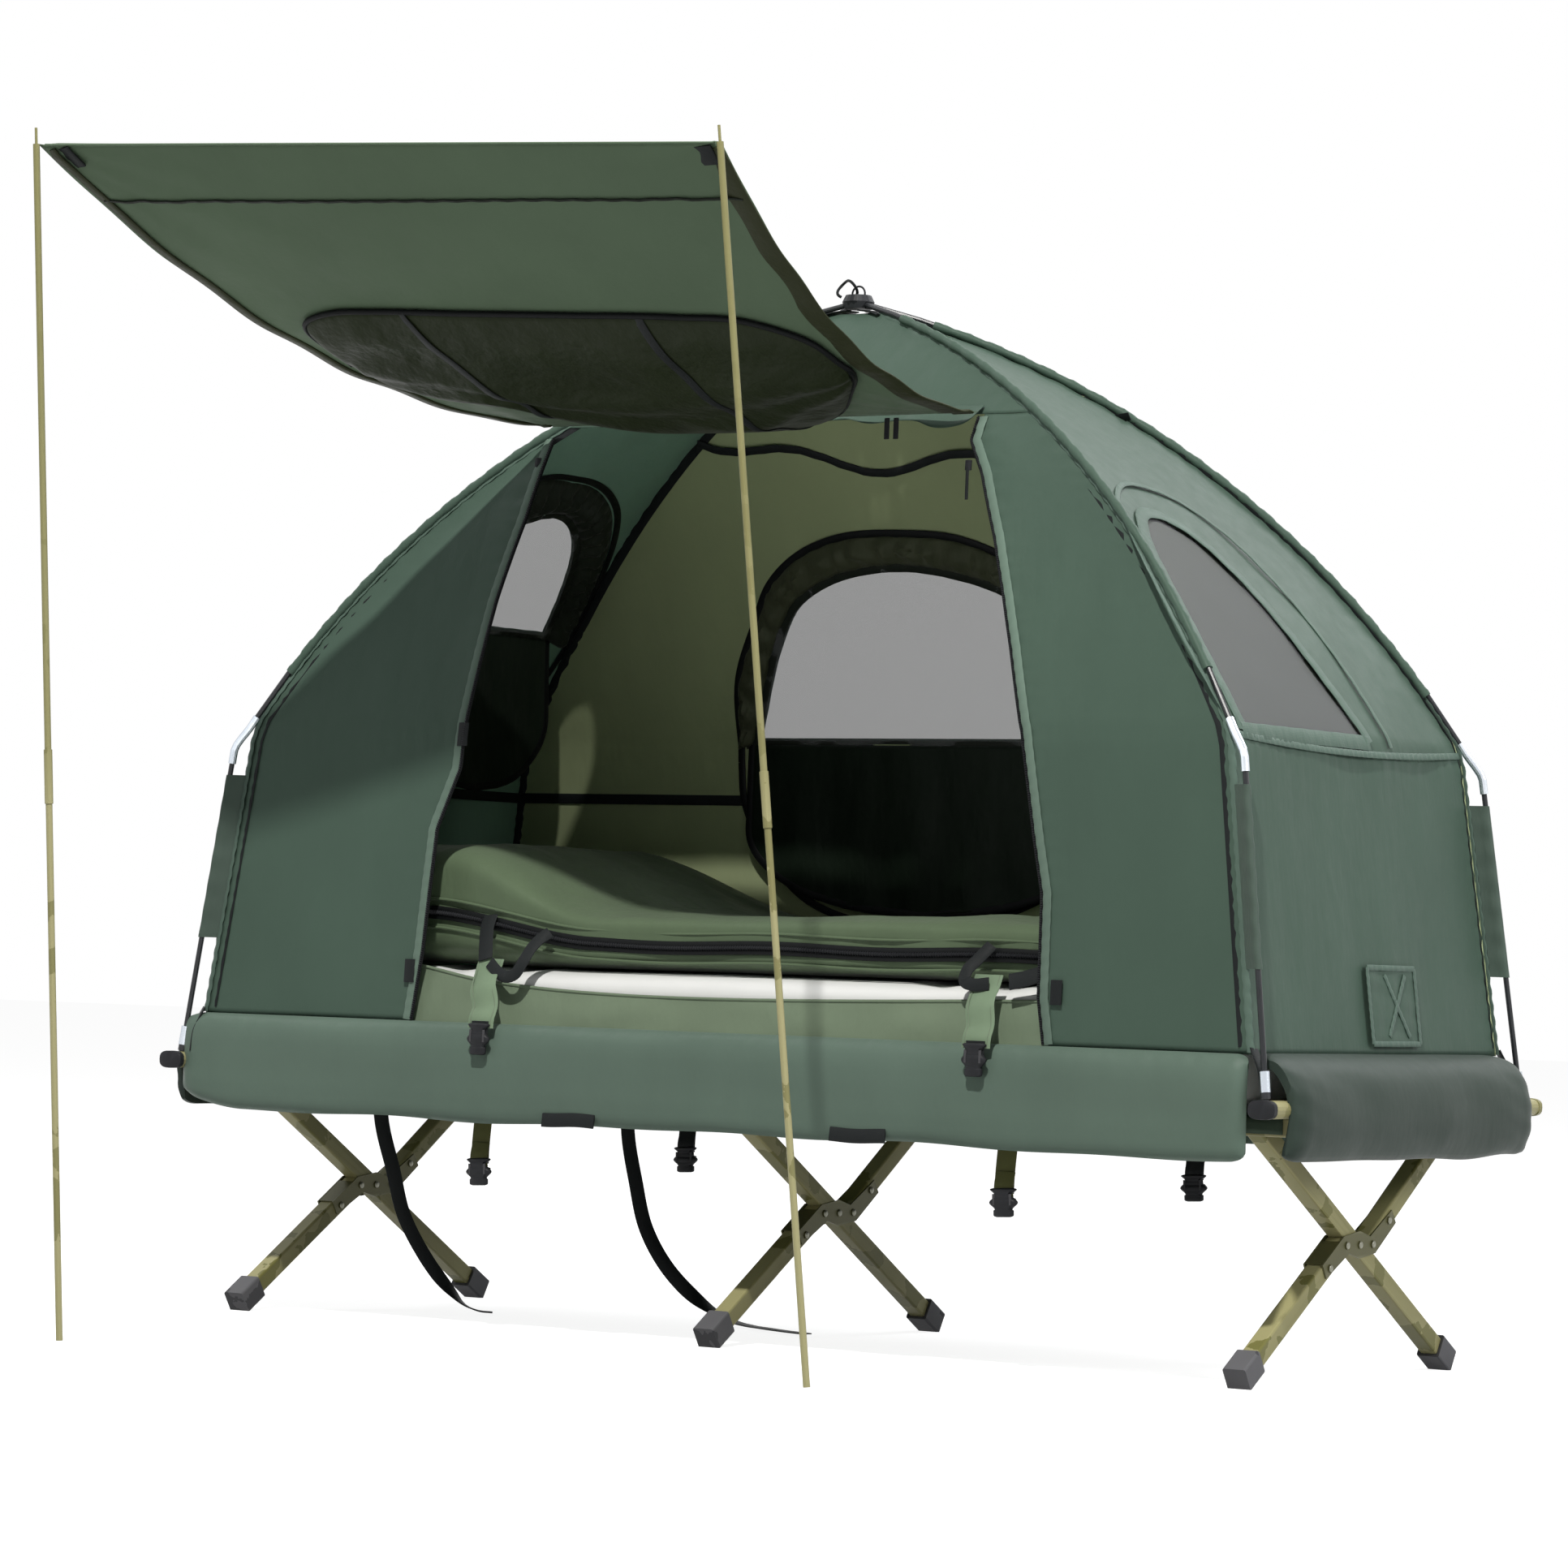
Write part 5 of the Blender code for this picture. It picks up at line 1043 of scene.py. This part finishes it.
# End sleeves: grey-green cloth wrapped round the spreader bars, stuffed out by the bedding's ends and gathered at
# the corners. Each is a soft section swept across the bed.
WRAP_CLOTH = cloth("wrap_cloth", screen(51, 62, 56), 0.12, 0.08, 0.06, 0.2, 0.10)
WRAP_SECTION = ((.886, .4470), (.900, .4480), (.921, .4430), (.941, .4290), (.956, .408), (.9640, .380),
                (.9650, .350), (.9600, .325), (.9490, .3070), (.9380, .3060), (.9400, .318), (.9500, .345),
                (.9520, .375), (.9440, .398), (.9280, .418), (.9050, .434), (.888, .438))


def add_wrap(label, side, seed):
    half = POLE_Y * SEAM_REACH - 0.012
    section = closed_line(WRAP_SECTION, 52)
    y = np.linspace(-half, half, 200)[:, None]
    away = half - np.abs(y)
    size = end_rounding(away, 0.035)
    middle = np.array([0.936, 0.378])
    out = middle[0] + (section[None, :, 0] - middle[0]) * (0.5 + 0.5 * size)
    level = middle[1] + (section[None, :, 1] - middle[1]) * (0.86 + 0.14 * size)
    outer = np.clip((out - 0.935) / 0.02, 0, 1)
    gather = np.exp(-away / 0.06) * np.sin(level / 0.0055 + 3 * y / 0.05)
    soft = outer * (0.0026 * rumple(y, level, 0.22, seed) + 0.0010 * gather)
    sag = np.clip((0.34 - level) / 0.03, 0, 1) * 0.004 * rumple(y, 0 * y, 0.35, seed + 1)
    points = np.stack([side * (out + soft), np.broadcast_to(y, out.shape), level + sag], -1)
    quads = outward_quads(points, ring_quads(200, 52))
    wrap = add_mesh(f"end_sleeve_{label}", placed(points), quads, WRAP_CLOTH, "tent")
    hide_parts(f"end_wrap_{label}")


add_wrap("left", -1, 91)
add_wrap("right", 1, 92)


# Bed cloth: heavy doubled polyester stretched between the rails, hemmed round both. Only its underside shows.
# The grid dips a little between the legs.
SLING_CLOTH = cloth("sling_cloth", screen(70, 84, 70), 0.4, 0.6, 0.15, 0.15)


def add_sling():
    rail = far_rail_high[1] - MIDDLE_Y
    top = near_rail_high[2]
    x = np.linspace(-0.905, 0.905, 150)[:, None]
    run = np.linspace(-1, 1, 61)[None]
    flat = np.clip(np.abs(run) / 0.88, 0, 1)
    hem = np.clip((np.abs(run) - 0.88) / 0.12, 0, 1)
    y = np.sign(run) * (rail + 0.0013) * flat
    dip = 0.006 * (1 - flat ** 2) * (0.7 + 0.3 * np.cos(x * 2 * math.pi / 0.857))
    level = top + 0.0015 - 0.024 * hem - dip - 0.0006 * (1 + rumple(x, y, 0.25, 101)) * (1 - flat ** 4)
    grid = placed(np.stack([np.broadcast_to(x, level.shape), np.broadcast_to(y, level.shape), level], -1))
    sling = add_cloth("bed_cloth", grid, SLING_CLOTH, "cot_frame", 0.0012)
    sling.modifiers["thickness"].offset = 0
    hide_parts("bed_sling")
    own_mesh(sling)


add_sling()


# Air mattress: a flocked inflatable bed, firm, with a rounded rim. Its near-white colour is partly its own pale flock
# and partly painted sunlight glare, taken from its side where it shows in the doorway.
# A squared-off ball on a fine grid, with shallow flutes across its top between the inner webs.
MATTRESS_LOW, MATTRESS_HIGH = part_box("air_mattress")
BAG_LOW, BAG_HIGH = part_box("sleeping_bag")
# Near-white: the flock's pale colour with painted sunlight glare on it.
MATTRESS_WHITE_WITH_PAINTED_GLARE = cloth("mattress_flock", screen(228, 229, 228), 0.15, 0.5, 0.04, 0.3, 0.1)


def squared_ball(half_length, half_width, height, square, rows, columns):
    """Directions of a ball squared off towards a box by a power; height is 0 at the bottom and 1 at the top."""
    def squared(value):
        return np.sign(value) * np.abs(value) ** square

    up = (math.pi * (np.linspace(0.01, 0.99, rows) - 0.5))[:, None]
    turn = np.linspace(0, 2 * math.pi, columns, endpoint=False)[None]
    ring = squared(np.cos(up))
    x = half_length * ring * squared(np.cos(turn))
    y = half_width * ring * squared(np.sin(turn))
    level = np.broadcast_to(0.5 + 0.5 * squared(np.sin(up)) / squared(np.sin(up[-1])), x.shape)
    return x, y, level * height, level


def add_mattress():
    height = MATTRESS_HIGH[2] - MATTRESS_LOW[2]
    half_length, half_width = (MATTRESS_HIGH[0] - MATTRESS_LOW[0]) / 2, (MATTRESS_HIGH[1] - MATTRESS_LOW[1]) / 2
    x, y, z, level = squared_ball(half_length, half_width, height, 0.22, 90, 360)
    flute = 0.006 * level ** 3 * (np.cos(x * 2 * math.pi / 0.105) - 1) / 2
    soft = 0.003 * rumple(x, z, 0.35, 111) * np.sign(y) * (1 - np.abs(2 * level - 1))
    points = np.stack([x, y - soft, MATTRESS_LOW[2] + z + flute], -1)
    quads = outward_quads(points, ring_quads(90, 360))
    mattress = add_mesh("mattress_body", placed(points), quads, MATTRESS_WHITE_WITH_PAINTED_GLARE, "tent")
    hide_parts("air_mattress")


add_mattress()


# Bed side cloth: the green cover's near side, which stands up from the skirt seam and leans slack on the mattress.
# Its upper edge hangs in a long sagging line between the door panels and is rolled over into a hem.
SIDE_TOP = ((-.80, .540), (-.515, .529), (-.40, .510), (-.31, .502), (-.15, .495), (0, .494), (.15, .496),
            (.31, .500), (.44, .504), (.554, .507), (.80, .515))
SIDE_CLOTH = cloth("bed_side_cloth", screen(111, 126, 105), 0.5, 0.3, 0.12, 0.2, 0.10)


def add_bed_side():
    top = smooth_line(SIDE_TOP, 220)
    x = top[None, :, 0]
    share = np.linspace(0, 1, 36)[:, None]
    foot = 0.4440
    level = foot + (top[None, :, 1] - foot) * share
    lean = 0.3575 - 0.0165 * share ** 0.7
    fold = 0.0022 * rumple(x, level * 3, 0.22, 121) * np.sin(math.pi * share)
    y = -(lean + fold + 0.002 * np.sin(math.pi * share))
    grid = placed(np.stack([np.broadcast_to(x, y.shape), y, level], -1))
    side = add_cloth("bed_side", grid, SIDE_CLOTH, "tent", 0.0014)
    hem = grid[-1] + np.array([0, -0.0004, 0])
    roll = add_swept("bed_side_hem", hem, round_section(0.0026, 8), (0, -1, 0.2), SIDE_CLOTH, "tent")


add_bed_side()


# Sleeping bag: two quilted layers of soft green polyester zipped together down the near side, with a raised pillow
# at the left end. Two puffed halves meet in a groove where the zip runs; the cloth lies in long soft folds.
BAG_GREEN = cloth("bag_cloth", screen(90, 106, 82), 0.5, 0.2, 0.12, 0.3, 0.10)
PILLOW_RISE = 0.100
PILLOW_LENGTH = 0.29


def bag_rise(x, half_length):
    along = np.clip((x + half_length) / PILLOW_LENGTH - 1, 0, 1)
    return PILLOW_RISE * (1 - along) ** 2 * (1 + 2 * along)


def add_bag():
    half_length, half_width = (BAG_HIGH[0] - BAG_LOW[0]) / 2, (BAG_HIGH[1] - BAG_LOW[1]) / 2
    height = BAG_HIGH[2] - BAG_LOW[2] - PILLOW_RISE
    x, y, z, level = squared_ball(half_length, half_width, height, 0.32, 110, 420)
    side = np.hypot(x / half_length, y / half_width)
    groove = 0.010 * np.exp(-((level - 0.42) / 0.07) ** 2) * np.clip(side - 0.5, 0, 1)
    shrink = 1 - groove / half_width
    top = level ** 2
    fold = 0.0055 * top * rumple(x, y * 0.6, 0.42, 131) + 0.0030 * top * rumple(x, y, 0.15, 132)
    bulge = 0.0035 * (1 - np.abs(2 * level - 1)) * rumple(x, z * 2, 0.20, 133)
    rise = bag_rise(x, half_length) * level
    points = np.stack([x * shrink, y * shrink + np.sign(y) * bulge, BAG_LOW[2] + z + fold + rise], -1)
    quads = outward_quads(points, ring_quads(110, 420))
    bag = add_mesh("sleeping_bag_body", placed(points), quads, BAG_GREEN, "tent")
    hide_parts("sleeping_bag")
    x = np.linspace(-0.70, 0.74, 420)
    level = BAG_LOW[2] + 0.42 * height + bag_rise(x, half_length) * 0.42 + 0.002 * np.sin(x * 17)
    out = half_width * (1 - np.abs(x / half_length) ** 9) ** 0.16 + 0.0022 + 0.001 * rumple(x, 0 * x, 0.2, 134)
    line = placed(np.stack([x, -out, level], 1))
    for label, lift in (("upper", 0.0055), ("lower", -0.0055)):
        tape = line + np.array([0, 0.0006, lift])
        add_swept(f"bag_zip_tape_{label}", tape, ribbon_section(0.0085, 0.0022), (0, -1, 0.15), ZIP_BLACK, "tent")
    fine = smooth_line(line, 1400)
    size = (0.0030 + 0.0011 * np.cos(np.arange(1400) * math.pi / 2))[:, None, None]
    add_swept("bag_zip_teeth", fine - np.array([0, 0.001, 0]), round_section(1.0, 6)[None] * size, (0, -1, 0.15),
              BLACK_PLASTIC, "tent")
    piping = line + np.array([0, 0.0015, -0.022])
    add_swept("bag_lower_piping", piping, round_section(0.0024, 8), (0, -1, 0), BAG_GREEN, "tent")
    piping = line + np.array([0, 0.0030, 0.020])
    add_swept("bag_upper_piping", piping, round_section(0.0024, 8), (0, -1, 0), BAG_GREEN, "tent")


add_bag()


# Door tabs: two straps hold the bedding in at the doorway. Each is a broad green tab over the sill with a black
# side-release buckle below it, and black webbing that comes down from the bag and loops back beside it.
TAB_GREEN = cloth("tab_webbing", screen(119, 139, 114), 0.3, 0.9, 0.12, 0.15)
TAB_WIDTH = 0.045


def add_buckle(name, centre, down, facing, body, size=(0.030, 0.040, 0.009)):
    """A moulded buckle: a waisted body with two prongs' shoulders, its width following a soft double bulge."""
    width, length, depth = size
    share = np.linspace(0, 1, 40)
    waist = 0.80 + 0.20 * np.cos(share * 4 * math.pi) * (share < 0.75) - 0.10 * (share > 0.75)
    profile = end_rounding(share * length, 0.003) * end_rounding((1 - share) * length, 0.003)
    down = np.asarray(down, float) / np.linalg.norm(down)
    path = np.asarray(centre) + (share[:, None] - 0.5) * length * down
    section = ribbon_section(1.0, depth / width)[None] * np.stack(
        [width * waist * (0.6 + 0.4 * profile), width * (0.35 + 0.65 * profile)], 1)[:, None, :]
    add_swept(name, path, section, facing, BLACK_PLASTIC, body)
    for sign in (-1, 1):
        beside = np.cross(down, facing) * sign * width * 0.30
        slot_path = path[8:24] + beside + np.asarray(facing) * (depth * 0.42)
        add_swept(f"{name}_prong_{'right' if sign > 0 else 'left'}", slot_path, ribbon_section(0.004, 0.003), facing,
                  CAP_PLASTIC, body)


def add_tab(label, x_top, x_low, upper, loop):
    top_z, sill_z, low_z = 0.537, 0.4590, 0.4470
    tab = smooth_line([(x_top, -.3480, top_z + .004), (x_top, -.3560, top_z - .012), (x_top * .6 + x_low * .4, -.3770, .500),
                       (x_low, -.3850, sill_z + .012), (x_low, -.3925, sill_z - .004), (x_low, -.3945, low_z - .006)], 50)
    add_swept(f"tab_{label}", placed(tab), ribbon_section(TAB_WIDTH, 0.0024), (0, -1, 0.25), TAB_GREEN, "tent")
    for number, offset in enumerate((-0.4, 0.4)):
        stitch = tab + np.array([offset * TAB_WIDTH, -0.0012, 0])
        add_swept(f"tab_{label}_stitch_{number}", placed(stitch), ribbon_section(0.0016, 0.0012), (0, -1, 0.25),
                  SIDE_CLOTH, "tent")
    keeper = [(x_low, -.3955, low_z + .004), (x_low, -.3965, low_z - .012), (x_low, -.3960, low_z - .020)]
    add_swept(f"tab_{label}_keeper", placed(smooth_line(keeper, 10)), ribbon_section(0.030, 0.0030), (0, -1, 0.1),
              WEB_BLACK, "tent")
    add_buckle(f"tab_{label}_buckle", placed((x_low, -.3985, low_z - .022)), (0, -0.02, -1), (0, -1, 0), "tent",
               (0.039, 0.046, 0.010))
    add_swept(f"tab_{label}_upper", placed(smooth_line(upper, 40)), ribbon_section(0.024, 0.0022), (0, -1, 0.35),
              WEB_BLACK, "tent")
    add_swept(f"tab_{label}_loop", placed(smooth_line(loop, 60)), ribbon_section(0.018, 0.0020), (0.1, -1, 0.1),
              WEB_BLACK, "tent")


add_tab("left", -.374, -.356,
        [(-.400, -.318, .605), (-.398, -.3290, .588), (-.390, -.3420, .565), (-.382, -.3530, .540)],
        [(-.372, -.3560, .536), (-.350, -.3640, .522), (-.332, -.3690, .516), (-.316, -.3700, .520),
         (-.305, -.3660, .538), (-.299, -.3520, .560), (-.292, -.3390, .574), (-.284, -.3300, .582)])
add_tab("right", .474, .484,
        [(.583, -.3300, .566), (.572, -.3420, .553), (.548, -.3540, .541), (.512, -.3580, .532)],
        [(.462, -.3240, .582), (.450, -.3400, .562), (.441, -.3540, .545), (.443, -.3620, .532),
         (.458, -.3650, .527), (.482, -.3620, .529)])


# Hanging straps: four short webbing straps with open buckle halves hang under the bed behind the skirts,
# two olive ones along the near side and two black ones along the far side.
OLIVE_WEB = cloth("olive_webbing", screen(84, 86, 49), 0.2, 0.9, 0.2, 0.1)


def add_hanging_strap(name, x, y, low, material):
    level = np.linspace(0.372, low + 0.020, 30)
    sway = 0.003 * np.sin((level - 0.30) * 30)
    line = placed(np.stack([x + sway, y + 0 * level, level], 1))
    add_swept(name, line, ribbon_section(0.029, 0.0022), (0.15, -1, 0), material, "tent")
    bend = placed(smooth_line([(x, y - .002, low + .050), (x, y - .007, low + .030), (x, y - .004, low + .014),
                               (x, y + .003, low + .016)], 24))
    add_swept(f"{name}_turn", bend, ribbon_section(0.029, 0.0022), (0.1, -1, 0.1), material, "tent")
    add_buckle(f"{name}_buckle", placed((x, y - .006, low + .008)), (0.05, 0, -1), (0, -1, 0), "tent",
               (0.044, 0.040, 0.011))


add_hanging_strap("hanging_near_left", -.394, -.330, .223, OLIVE_WEB)
add_hanging_strap("hanging_near_right", .500, -.330, .223, OLIVE_WEB)
add_hanging_strap("hanging_far_left", -.484, .330, .228, WEB_BLACK)
add_hanging_strap("hanging_far_right", .4265, .330, .228, WEB_BLACK)


# Small fittings of the door: hook-and-loop patches beside the zips and sliders with cord pulls.
PATCHES = (("left_upper", -.443, .868), ("left_lower", -.512, .520), ("right_lower", .590, .520))
PULLS = (("left", -.430, 1.285), ("right", .330, 1.262))


def add_door_fittings():
    for label, x, z in PATCHES:
        height = np.linspace(z - 0.017, z + 0.017, 6)
        add_band(f"patch_{label}", "front", np.stack([np.full(6, x), height], 1), 0.018, 0.0024, WEB_BLACK,
                 thickness=0.0024)
    for label, x, z in PULLS:
        top = on_wall("front", x, z, 0.004)
        slider = top + np.linspace(0, 1, 12)[:, None] * np.array([0, -0.001, -0.014])
        add_swept(f"pull_{label}_slider", slider, ribbon_section(0.010, 0.006), (0, -1, 0.3), BLACK_PLASTIC, "tent")
        cord = top + np.linspace(0, 1, 20)[:, None] * np.array([0.002, -0.004, -0.046]) + np.array([0, -0.003, -0.010])
        add_swept(f"pull_{label}_tag", cord, ribbon_section(0.005, 0.0022), (0, -1, 0.2), WEB_BLACK, "tent")


add_door_fittings()


# Roll sliders: two zip sliders with pulls hang from the rolled door's edge under the awning.
for number, across in enumerate((0.845, 0.865)):
    top = on_awning(0.075, across, 0.012)
    line = top + np.linspace(0, 1, 16)[:, None] * np.array([0.001, -0.002, -0.030])
    add_swept(f"roll_pull_{number}", line, ribbon_section(0.008, 0.004), (0, -1, 0.1), BLACK_PLASTIC, "awning")


# Vent patch on the right end: a flat stitched rectangle over a closed vent, tied across by two crossing tapes.
VENT_BOX = (-.018, .123, .450, .567)


def add_vent_patch():
    low, high, bottom, top = VENT_BOX
    bottom = bottom + 0.012
    across = np.linspace(low, high, 30)[None]
    height = np.linspace(bottom, top, 30)[:, None]
    across, height = np.broadcast_arrays(across, height)
    grid = on_wall("right", across, height, 0.0022 + 0.0008 * rumple(across, height, 0.05, 141))
    patch = add_cloth("vent_patch", grid, CLOTH_GREEN, "tent", 0.0010)
    corners = [(low, bottom), (high, bottom), (high, top), (low, top), (low, bottom)]
    lines = [(corners[i], corners[i + 1]) for i in range(4)]
    lines += [((low + .05, bottom + .01), (high - .03, top - .01)), ((high - .03, bottom + .01), (low + .05, top - .01))]
    for number, (start, end) in enumerate(lines):
        line = np.linspace(start, end, 30)
        add_band(f"vent_tape_{number}", "right", line, 0.008, 0.0036, BINDING_GREEN, thickness=0.0018, waves=0.0004)


add_vent_patch()


# Corner ties and rod ends: black webbing ties each tent corner to its spreader bar; a bright ferrule ends each rod.
def add_corner_ties():
    for label, sx, sy in (("front_left", -1, -1), ("front_right", 1, -1), ("rear_left", -1, 1), ("rear_right", 1, 1)):
        along = np.array([sx * POLE_X, sy * POLE_Y, 0.0])
        side = np.array([-sy * POLE_Y, sx * POLE_X, 0.0])
        start = along * 0.966 + side * 0.004 + np.array([0, 0, 0.455])
        end = along * 0.985 + side * 0.010 + np.array([0, 0, SPREADER_TOP + 0.002])
        tie = smooth_line([start, (start + end) / 2 + along * 0.006, end], 24)
        add_swept(f"corner_tie_{label}", placed(tie), ribbon_section(0.022, 0.0022), along + side * 0.4, WEB_BLACK,
                  "tent")
        direction = np.array([0.063, -(ELBOW_LOW[1] - SPREADER_TOP)])
        direction = direction / np.hypot(*direction)
        foot = along * POLE_FOOT[0] + np.array([0, 0, SPREADER_TOP])
        step = along * direction[0] + np.array([0, 0, direction[1]])
        ferrule = np.array([foot - step * 0.0385, foot - step * 0.0105])
        add_swept(f"rod_ferrule_{label}", placed(ferrule), round_section(0.0071, 16), side, BRIGHT_TUBE, "tent")


add_corner_ties()


# End caps of the spreader bars: short moulded plugs over the bars' ends, black but for the far right one.
# Each is a flattened oval swept a short way along the bar.
def add_spreader_caps():
    for label, sx in (("left", -1), ("right", 1)):
        low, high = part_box(f"spreader_{label}")
        centre_x, centre_z = (low[0] + high[0]) / 2, (low[2] + high[2]) / 2
        for end, y, sign in (("near", low[1], -1), ("far", high[1], 1)):
            path = [(centre_x, y + sign * 0.0015, centre_z), (centre_x, y + sign * 0.0005, centre_z),
                    (centre_x, y - sign * 0.008, centre_z)]
            turn = np.linspace(0, 2 * math.pi, 24, endpoint=False)
            oval = np.stack([0.0205 * np.sign(np.cos(turn)) * np.abs(np.cos(turn)) ** 0.7,
                             0.0130 * np.sign(np.sin(turn)) * np.abs(np.sin(turn)) ** 0.7], 1)
            section = oval[None] * np.array([0.94, 1, 1])[:, None, None]
            material = KHAKI_COAT if label == "right" and end == "far" else BLACK_PLASTIC
            add_swept(f"spreader_cap_{label}_{end}", path, section, (0, 0, 1), material, "tent")


add_spreader_caps()


# Rivets: dull domed steel heads on both faces of the brackets, holding the leg tubes as their pins.
# Each is a round section swept a short way with a domed end.
RIVET_STEEL = hard("rivet_steel", screen(142, 142, 128), screen(190, 190, 184), 0.4, 0.4, 0.5)


def add_rivets():
    pivot = np.array([0, 0.185])
    near, far = np.array([-0.038, 0.185]), np.array([0.038, 0.185])
    near_down = np.array([-0.295, -0.185]) / np.hypot(0.295, 0.185)
    far_up = np.array([0.241, 0.165]) / np.hypot(0.241, 0.165)
    places = [pivot, near, far, near + near_down * 0.0565, far + far_up * 0.0565]
    face = 0.0150 + 0.0020 + 0.0002
    dome = np.array([0.0, 0.0006, 0.0012, 0.0017, 0.0020])
    scale = np.array([1.0, 0.98, 0.85, 0.6, 0.25])
    for set_name, x in (("left", -0.857), ("middle", 0.0), ("right", 0.857)):
        for number, (y, z) in enumerate(places):
            for side in (-1, 1):
                path = placed(np.stack([x + side * (face - 0.0004 + dome), np.full(5, y), np.full(5, z)], 1))
                section = round_section(0.0050, 12)[None] * scale[:, None, None]
                label = "left" if side < 0 else "right"
                add_swept(f"rivet_{set_name}_{number}_{label}", path, section, (0, 0, 1), RIVET_STEEL, "brackets")


add_rivets()


# Hub tie: a loop of cord and a doubled cloth tab that tie the tent's crown to the hub.
def add_hub_ties():
    for number, (sx, sy) in enumerate(((-1, -1), (1, -1), (-1, 1), (1, 1))):
        along = np.array([sx * POLE_X, sy * POLE_Y, 0.0])
        tie = [along * 0.010 + np.array([0, 0, 1.512]), along * 0.035 + np.array([0, 0, 1.509]),
               along * 0.060 + np.array([0, 0, 1.5015])]
        add_swept(f"hub_tie_{number}", placed(smooth_line(tie, 14)), ribbon_section(0.018, 0.0020), (0, 0, 1),
                  WEB_BLACK, "tent")
    turn = np.linspace(0.15, 1.85, 30) * math.pi
    knot = np.stack([0.016 * np.sin(turn) - 0.020, 0.006 * np.sin(2 * turn), 1.545 - 0.013 * np.cos(turn)], 1)
    add_swept("hub_cord", placed(knot), round_section(0.0022, 8), (0.3, 1, 0.2), WEB_BLACK, "tent")


add_hub_ties()
